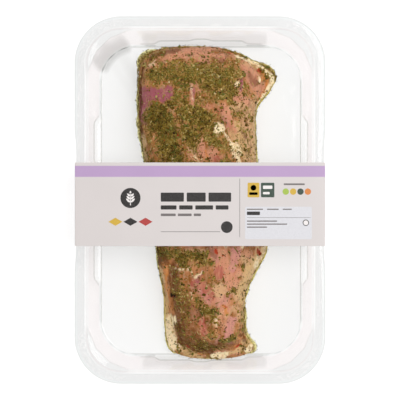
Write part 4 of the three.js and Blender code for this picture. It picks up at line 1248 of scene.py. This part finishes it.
def outline_loop(rings, count, smoothing):
    """The meat's outline seen from above, counterclockwise: its right edge towards the thick end and its left
    edge back, resampled to even steps and smoothed by a running mean."""
    loop = np.concatenate([rings[:, POINTS_OVER, :2], rings[::-1, 0, :2]])
    loop = np.vstack([loop, loop[:1]])
    run = np.concatenate([[0], np.cumsum(np.linalg.norm(np.diff(loop, axis=0), axis=1))])
    steps = np.linspace(0, run[-1], count + 1)[:-1]
    loop = np.stack([np.interp(steps, run, loop[:, k]) for k in (0, 1)], -1)
    return np.mean([np.roll(loop, k, axis=0) for k in range(-smoothing, smoothing + 1)], axis=0)


def puddle_surface(rings):
    """The oil that has run out round the meat: a closed band on the tray's floor that follows the outline.
    Its width wanders, its outer edge is a rounded bead, and it rises where it meets the meat."""
    loop = outline_loop(rings, OIL_STEPS, OIL_SMOOTHING)
    tangent = unit(np.roll(loop, -1, axis=0) - np.roll(loop, 1, axis=0))
    outward = np.stack([tangent[:, 1], -tangent[:, 0]], -1)
    spot = np.column_stack([loop, np.zeros(len(loop))])
    left = smoothstep(-24, -32, loop[:, 0]) * smoothstep(20, 40, loop[:, 1]) * smoothstep(80, 62, loop[:, 1])
    corner = smoothstep(-24, -32, loop[:, 0]) * smoothstep(80, 87, loop[:, 1])
    thin_end = smoothstep(-84, -92, loop[:, 1])
    reach = 1.0 + 0.6 * noise(spot, 9, 31) + 0.4 * noise(spot, 3, 32)
    reach += 1.2 * left + 1.8 * corner + 0.7 * thin_end
    reach = np.maximum(reach, 0.25)
    section = [(-7, 0.02), (0, 0.02), (-0.1, 0.06, 1), (0, 0.14, 1), (-0.12, 0.24, 1), (-0.5, 0.34, 1)]
    section += [(-0.4, 0.5), (-2.5, 0.6), (-7, 0.6)]
    columns = []
    for offset, height, *moves in section:
        out = offset + (reach if moves else 0)
        flat = loop + outward * np.broadcast_to(out, len(loop))[:, None]
        flat = np.clip(flat, -OIL_LIMIT, OIL_LIMIT)
        columns.append(np.column_stack([flat, np.full(len(flat), FLOOR_HEIGHT + height)]))
    return np.stack(columns, 1), loop, outward, reach


# Operators: one for the stage and one for each piece or group of like pieces.


class StageOperator(bpy.types.Operator):
    """Set the camera above the pack, the pale floor, the surround and the soft lamps"""

    bl_idname = "tenderloin_pack.stage"
    bl_label = "Stage"

    def execute(self, context):
        scene, settings = context.scene, context.scene.tenderloin_pack.stage
        camera = bpy.data.objects.new("camera", bpy.data.cameras.new("camera"))
        camera.data.lens, camera.data.sensor_width = settings.focal_length, 36
        aside = tuple(settings.camera_aside)
        camera.location = (*aside, settings.camera_height)
        shift = settings.focal_length / camera.data.sensor_width / (settings.camera_height - RIM_HEIGHT * MM)
        camera.data.shift_x, camera.data.shift_y = -aside[0] * shift, -aside[1] * shift
        scene.collection.objects.link(camera)
        scene.camera = camera
        scene.view_settings.view_transform = "Standard"
        scene.view_settings.look = "None"
        scene.cycles.transparent_max_bounces = 32

        points = [np.insert(disc(0, 0, radius, STUDIO_SIDES), 2, 0, axis=1) for radius in STUDIO_RINGS]
        faces = grid_faces(len(STUDIO_RINGS), STUDIO_SIDES)[:, ::-1].tolist() + [list(range(STUDIO_SIDES))]
        mesh = bpy.data.meshes.new("studio_floor")
        mesh.from_pydata(np.concatenate(points).tolist(), [], faces)
        material, node = new_material("translucent_acrylic_table")
        look = {
            "Base Color": tuple(settings.floor_colour), "Roughness": 0.7, "Specular IOR Level": 0.1,
            "Emission Color": (1, 1, 1, 1), "Emission Strength": settings.floor_glow,
        }
        node("OutputMaterial", {"Surface": node("BsdfPrincipled", look)})
        mesh.materials.append(material)
        floor = bpy.data.objects.new("studio_floor", mesh)
        scene.collection.objects.link(floor)

        world = bpy.data.worlds.new("studio")
        world.use_nodes = True
        world.node_tree.nodes.clear()
        node = partial(add_node, world.node_tree)
        upwards = node("SeparateXYZ", {0: node("TexCoord", out="Generated")}, out="Z")
        greys = ((0.0, 1.0), (0.12, 1.0), (0.55, 0.5), (1.0, 0.28))
        walls = node("ValToRGB", {"Fac": upwards}, stops=[(at, (grey, grey, grey, 1)) for at, grey in greys])
        glow = node("Background", {"Color": walls, "Strength": settings.sky_brightness})
        node("OutputWorld", {"Surface": glow})
        scene.world = world

        lamps = [
            ("key_lamp", (0.6, 0.15, 1.4), 1.0, settings.key_power, True),
            ("top_lamp", (-0.1, 0.1, 1.7), 1.1, settings.top_power, False),
        ]
        for name, place, size, power, mirrored in lamps:
            lamp = bpy.data.lights.new(name, "AREA")
            lamp.shape, lamp.size, lamp.energy = "DISK", size, power
            stand = bpy.data.objects.new(name, lamp)
            away = np.array(place) / np.linalg.norm(place)
            stand.location = place
            stand.rotation_euler = (np.arccos(away[2]), 0, np.arctan2(away[1], away[0]) + np.pi / 2)
            stand.visible_glossy = mirrored
            scene.collection.objects.link(stand)
        return {"FINISHED"}


class TrayOperator(bpy.types.Operator):
    """Make the clear formed tray"""

    bl_idname = "tenderloin_pack.tray"
    bl_label = "Tray"

    def execute(self, context):
        settings = context.scene.tenderloin_pack.clear
        # Thermoformed clear PET: bright and glossy, with slow waves where the sheet has stretched.
        material = clear_plastic(
            "thermoformed_clear_pet",
            (
                tuple(settings.tray_tint), tuple(settings.tray_wall_tint), linear("#EDECEB"),
                tuple(settings.rim_tint), linear("#D4D3D0"),
            ),
            head_on=0.02, grazing=0.2, roughness=0.06, wave_size=12, wave_height=0.12,
        )
        rings, fold, hazy = tray_surface()
        points, faces = closed_loft(rings, (0, 0, BOARD), (0, 0, FLOOR_HEIGHT))
        put_piece(
            "formed_tray", points, faces, material, ["tray"],
            values={"hazy": np.append(hazy, [0, 0]), "folded": np.append(fold, [0, 0])},
        )
        return {"FINISHED"}


class FilmOperator(bpy.types.Operator):
    """Make the clear film that is sealed on the tray's rim"""

    bl_idname = "tenderloin_pack.film"
    bl_label = "Film"

    def execute(self, context):
        settings = context.scene.tenderloin_pack.clear
        # Sealed lidding film: clear and very glossy, drawn tight with a few slack ripples. Under soft light
        # it mirrors almost nothing head-on.
        material = clear_plastic(
            "clear_lidding_film",
            (tuple(settings.film_tint), tuple(settings.film_tint), linear("#E8E8E8"), (1,) * 4, (1,) * 4),
            head_on=0.003, grazing=0.6, roughness=0.05, wave_size=20, wave_height=0.15,
        )
        rings = film_surface(settings.ripple / MM)
        points, faces = closed_loft(rings, rings[0].mean(0), rings[-1].mean(0))
        put_piece("sealed_film", points, faces, material, ["lidding_film"])
        return {"FINISHED"}


class SleeveOperator(bpy.types.Operator):
    """Make the card sleeve and the print on it"""

    bl_idname = "tenderloin_pack.sleeve"
    bl_label = "Sleeve"

    def execute(self, context):
        settings = context.scene.tenderloin_pack.sleeve
        grid, raw = sleeve_surface()
        rows, columns = grid.shape[:2]
        put_piece(
            "card_band", grid.reshape(-1, 3), [grid_faces(rows, columns, round_rows=True)],
            cartonboard(settings), ["card_sleeve"], crease=0.6, values={"raw": raw},
        )
        for name, (outlines, colour, layer) in print_layout().items():
            printed_fields(name, outlines, printing_ink(name.replace("print", "ink"), colour), layer)
        return {"FINISHED"}


class MeatOperator(bpy.types.Operator):
    """Make the tenderloin"""

    bl_idname = "tenderloin_pack.meat"
    bl_label = "Tenderloin"

    def execute(self, context):
        settings = context.scene.tenderloin_pack.meat
        rings, _, values = meat_surface(settings.crust)
        points, faces = closed_loft(rings, rings[0].mean(0), rings[-1].mean(0))
        poled = {name: np.append(numbers.ravel(), [0, 0]) for name, numbers in values.items()}
        put_piece(
            "tenderloin_meat", points, faces, meat_material(settings), ["tenderloin"],
            values=poled,
        )
        return {"FINISHED"}


class HerbsOperator(bpy.types.Operator):
    """Strew rosemary, herb flakes and crumbs, garlic, paprika and pepper on the meat"""

    bl_idname = "tenderloin_pack.herbs"
    bl_label = "Herbs and spices"

    def execute(self, context):
        pack = context.scene.tenderloin_pack
        settings = pack.herbs
        rng = np.random.default_rng(settings.seed)
        rings, inside, values = meat_surface(pack.meat.crust)
        top = slice(0, POINTS_OVER + 1)
        rings = rings[:, top]
        here = {name: numbers[:-1, top][:, :-1] for name, numbers in values.items()}
        herbs, fat = here["herbs"], here["fat"]
        upright = np.clip(grid_normals(rings)[:-1, :-1, 2], 0.3, 1)
        edge = 1 - smoothstep(0.2, 1.4, inside[:-1, top][:, :-1])

        def strew(name, material, form, count, chances, low, high, lift, tilt, tone, fresh=0.0, bend=0.0):
            """Strews one kind: sizes lie between low and high, lift is the height of each middle."""
            place, normal, cell = strewn(rng, rings, chances * upright, count)
            skew = rng.random((count, 1)) ** 1.6
            sizes = lerp(np.array(low), np.array(high), skew) * rng.uniform(0.85, 1.15, (count, 3))
            heaped = 0.25 * herbs.ravel()[cell] + 0.7 * edge.ravel()[cell]
            place = place + normal * (lift + heaped[:, None] * rng.random((count, 1)))
            jitter = rng.uniform(-0.32, 0.32, (count, len(form[0])))
            bends = bend * rng.normal(size=(count, 2))
            points, faces = copies(form, place, frames_on(rng, normal, tilt), sizes, jitter, bends)
            each = len(form[0])
            clump = 0.2 * noise(place, (2.4, 2.4, 2.4), 41) + 0.1 * noise(place, (6, 6, 6), 42)
            tones = np.clip(tone(rng, cell, count) + clump, 0, 1)
            leafy = (rng.random(count) < fresh) * rng.uniform(0.2, 0.75, count)
            put_piece(
                name, points, faces, material,
                values={"tone": np.repeat(tones, each), "fresh": np.repeat(leafy, each)},
            )

        def herb_tone(rng, cell, count):
            return rng.normal(0.5, 0.16, count) - 0.14 * here["dark"].ravel()[cell]

        def crumb_tone(rng, cell, count):
            return rng.normal(0.3, 0.22, count)

        def even_tone(rng, cell, count):
            return rng.random(count)

        needle = grain_form((-0.22, 0.24), (1.0, 0.8), 3)
        flake = grain_form((-0.2, 0.2), (0.9, 1.0), 4)
        crumb = grain_form((0.0,), (1.0,), 4)
        lump = grain_form((-0.22, 0.22), (0.95, 0.9), 5)
        rosemary = herb_material("oiled_rosemary_leaf", DRIED_HERB, "#56682E", 0.5)
        rubbed = herb_material("oiled_rubbed_herb", DRIED_HERB, "#5C6E34", 0.55)
        strew(
            "rosemary_leaves", rosemary, needle, settings.leaves, 0.006 + herbs**2,
            (1.4, 0.55, 0.34), (4.8, 1.0, 0.5), lift=0.1, tilt=0.16, tone=herb_tone, fresh=0.25, bend=0.35,
        )
        strew(
            "herb_flakes", rubbed, flake, settings.flakes, 0.01 + herbs**1.5,
            (0.9, 0.7, 0.22), (2.4, 1.8, 0.36), lift=0.08, tilt=0.25, tone=herb_tone, fresh=0.25, bend=0.15,
        )
        strew(
            "herb_crumbs", rubbed, crumb, settings.crumbs, 0.16 + herbs + 1.2 * edge,
            (0.35, 0.3, 0.22), (1.15, 0.8, 0.5), lift=0.05, tilt=0.4, tone=crumb_tone, fresh=0.06,
        )
        garlic = herb_material(
            "garlic_granule", [(0.0, "#B09A60"), (0.5, "#C4AE78"), (1.0, "#DAC898")], "#B09A60", 0.45
        )
        strew(
            "garlic_granules", garlic, lump, settings.garlic, 0.03 + herbs * 0.15 + 1.6 * fat,
            (0.6, 0.5, 0.4), (2.0, 1.5, 0.9), lift=0.05, tilt=0.5, tone=even_tone,
        )
        paprika = herb_material(
            "paprika_flake", [(0.0, "#8E3A1C"), (0.5, "#A8482A"), (1.0, "#C06A38")], "#8E3A1C", 0.4
        )
        strew(
            "paprika_flakes", paprika, flake, settings.paprika, 0.2 + herbs,
            (0.6, 0.5, 0.18), (1.5, 1.1, 0.25), lift=0.08, tilt=0.3, tone=even_tone,
        )
        pepper = herb_material(
            "cracked_pepper", [(0.0, "#1C1510"), (0.6, "#33261A"), (1.0, "#5A4630")], "#33261A", 0.5
        )
        strew(
            "cracked_pepper", pepper, lump, settings.pepper, 0.2 + herbs,
            (0.6, 0.6, 0.5), (1.3, 1.2, 1.0), lift=0.1, tilt=0.5, tone=even_tone,
        )
        return {"FINISHED"}


class MarinadeOperator(bpy.types.Operator):
    """Make the oil round the meat on the tray's floor, with the specks in it"""

    bl_idname = "tenderloin_pack.marinade"
    bl_label = "Marinade"

    def execute(self, context):
        pack = context.scene.tenderloin_pack
        rings, _, _ = meat_surface(pack.meat.crust)
        grid, loop, outward, reach = puddle_surface(rings)
        # Herb oil with meat juice: a clear yellow liquid in a thin layer, with a smooth, wet surface.
        oil = clear_plastic(
            "yellow_herb_oil",
            (linear("#FCFAE0"), linear("#F7F2C4"), linear("#ECE4A2"), linear("#EADFA8"), (1,) * 4),
            head_on=0.02, grazing=0.5, roughness=0.04, wave_size=4, wave_height=0.05,
        )
        rows, columns = grid.shape[:2]
        out = ((grid[..., :2] - loop[:, None]) * outward[:, None]).sum(-1)
        deep = smoothstep(-3, -0.6, out) * (1 - smoothstep(0.2, 1.6, out))
        put_piece(
            "herb_oil", grid.reshape(-1, 3), [grid_faces(rows, columns, round_rows=True)], oil,
            values={"hazy": deep},
        )
        rng = np.random.default_rng(pack.herbs.seed + 1)
        count = pack.herbs.specks
        at = rng.choice(len(loop), count, p=reach / reach.sum())
        out = rng.uniform(-1.5, 0.8, count) + reach[at] * rng.random(count)
        flat = np.clip(loop[at] + outward[at] * out[:, None], -SPECK_LIMIT, SPECK_LIMIT)
        place = np.column_stack([flat, FLOOR_HEIGHT + rng.uniform(0.1, 0.5, count)])
        form = grain_form((0.0,), (1.0,), 4)
        sizes = rng.uniform((0.3, 0.3, 0.2), (1.2, 0.65, 0.35), (count, 3))
        frames = frames_on(rng, np.tile((0.0, 0.0, 1.0), (count, 1)), 0.2)
        points, faces = copies(form, place, frames, sizes, rng.uniform(-0.25, 0.25, (count, len(form[0]))))
        tone = np.clip(rng.normal(0.3, 0.2, count), 0, 1)
        material = herb_material("herb_specks_in_oil", SOAKED_HERB, "#4F6A30", 0.45)
        put_piece(
            "specks_in_oil", points, faces, material,
            values={"tone": np.repeat(tone, len(form[0])), "fresh": np.zeros(len(points))},
        )
        return {"FINISHED"}


class PackPanel(bpy.types.Panel):
    """Lists the pack's settings and what builds each piece"""

    bl_idname = "VIEW3D_PT_tenderloin_pack"
    bl_label = "Tenderloin pack"
    bl_space_type = "VIEW_3D"
    bl_region_type = "UI"
    bl_category = "Tenderloin pack"

    def draw(self, context):
        pack = context.scene.tenderloin_pack
        groups = [
            (pack.stage, (StageOperator,)),
            (pack.clear, (TrayOperator, FilmOperator)),
            (pack.sleeve, (SleeveOperator,)),
            (pack.meat, (MeatOperator, MarinadeOperator)),
            (pack.herbs, (HerbsOperator,)),
        ]
        for settings, operators in groups:
            box = self.layout.box()
            for name in settings.bl_rna.properties.keys():
                if name not in ("rna_type", "name"):
                    box.prop(settings, name)
            for operator in operators:
                box.operator(operator.bl_idname)


CLASSES = (
    StageSettings, ClearSettings, SleeveSettings, MeatSettings, HerbSettings, PackSettings,
    StageOperator, TrayOperator, FilmOperator, SleeveOperator, MeatOperator, HerbsOperator, MarinadeOperator,
    PackPanel,
)


def register():
    """Registers the classes and gives each scene the pack's settings."""
    for kind in CLASSES:
        bpy.utils.register_class(kind)
    bpy.types.Scene.tenderloin_pack = PointerProperty(type=PackSettings)


def unregister():
    """Undoes register."""
    del bpy.types.Scene.tenderloin_pack
    for kind in reversed(CLASSES):
        bpy.utils.unregister_class(kind)


def main():
    """Builds the whole scene."""
    register()
    bpy.ops.tenderloin_pack.stage()
    bpy.ops.tenderloin_pack.tray()
    bpy.ops.tenderloin_pack.film()
    bpy.ops.tenderloin_pack.sleeve()
    bpy.ops.tenderloin_pack.meat()
    bpy.ops.tenderloin_pack.herbs()
    bpy.ops.tenderloin_pack.marinade()


if __name__ == "__main__":
    main()
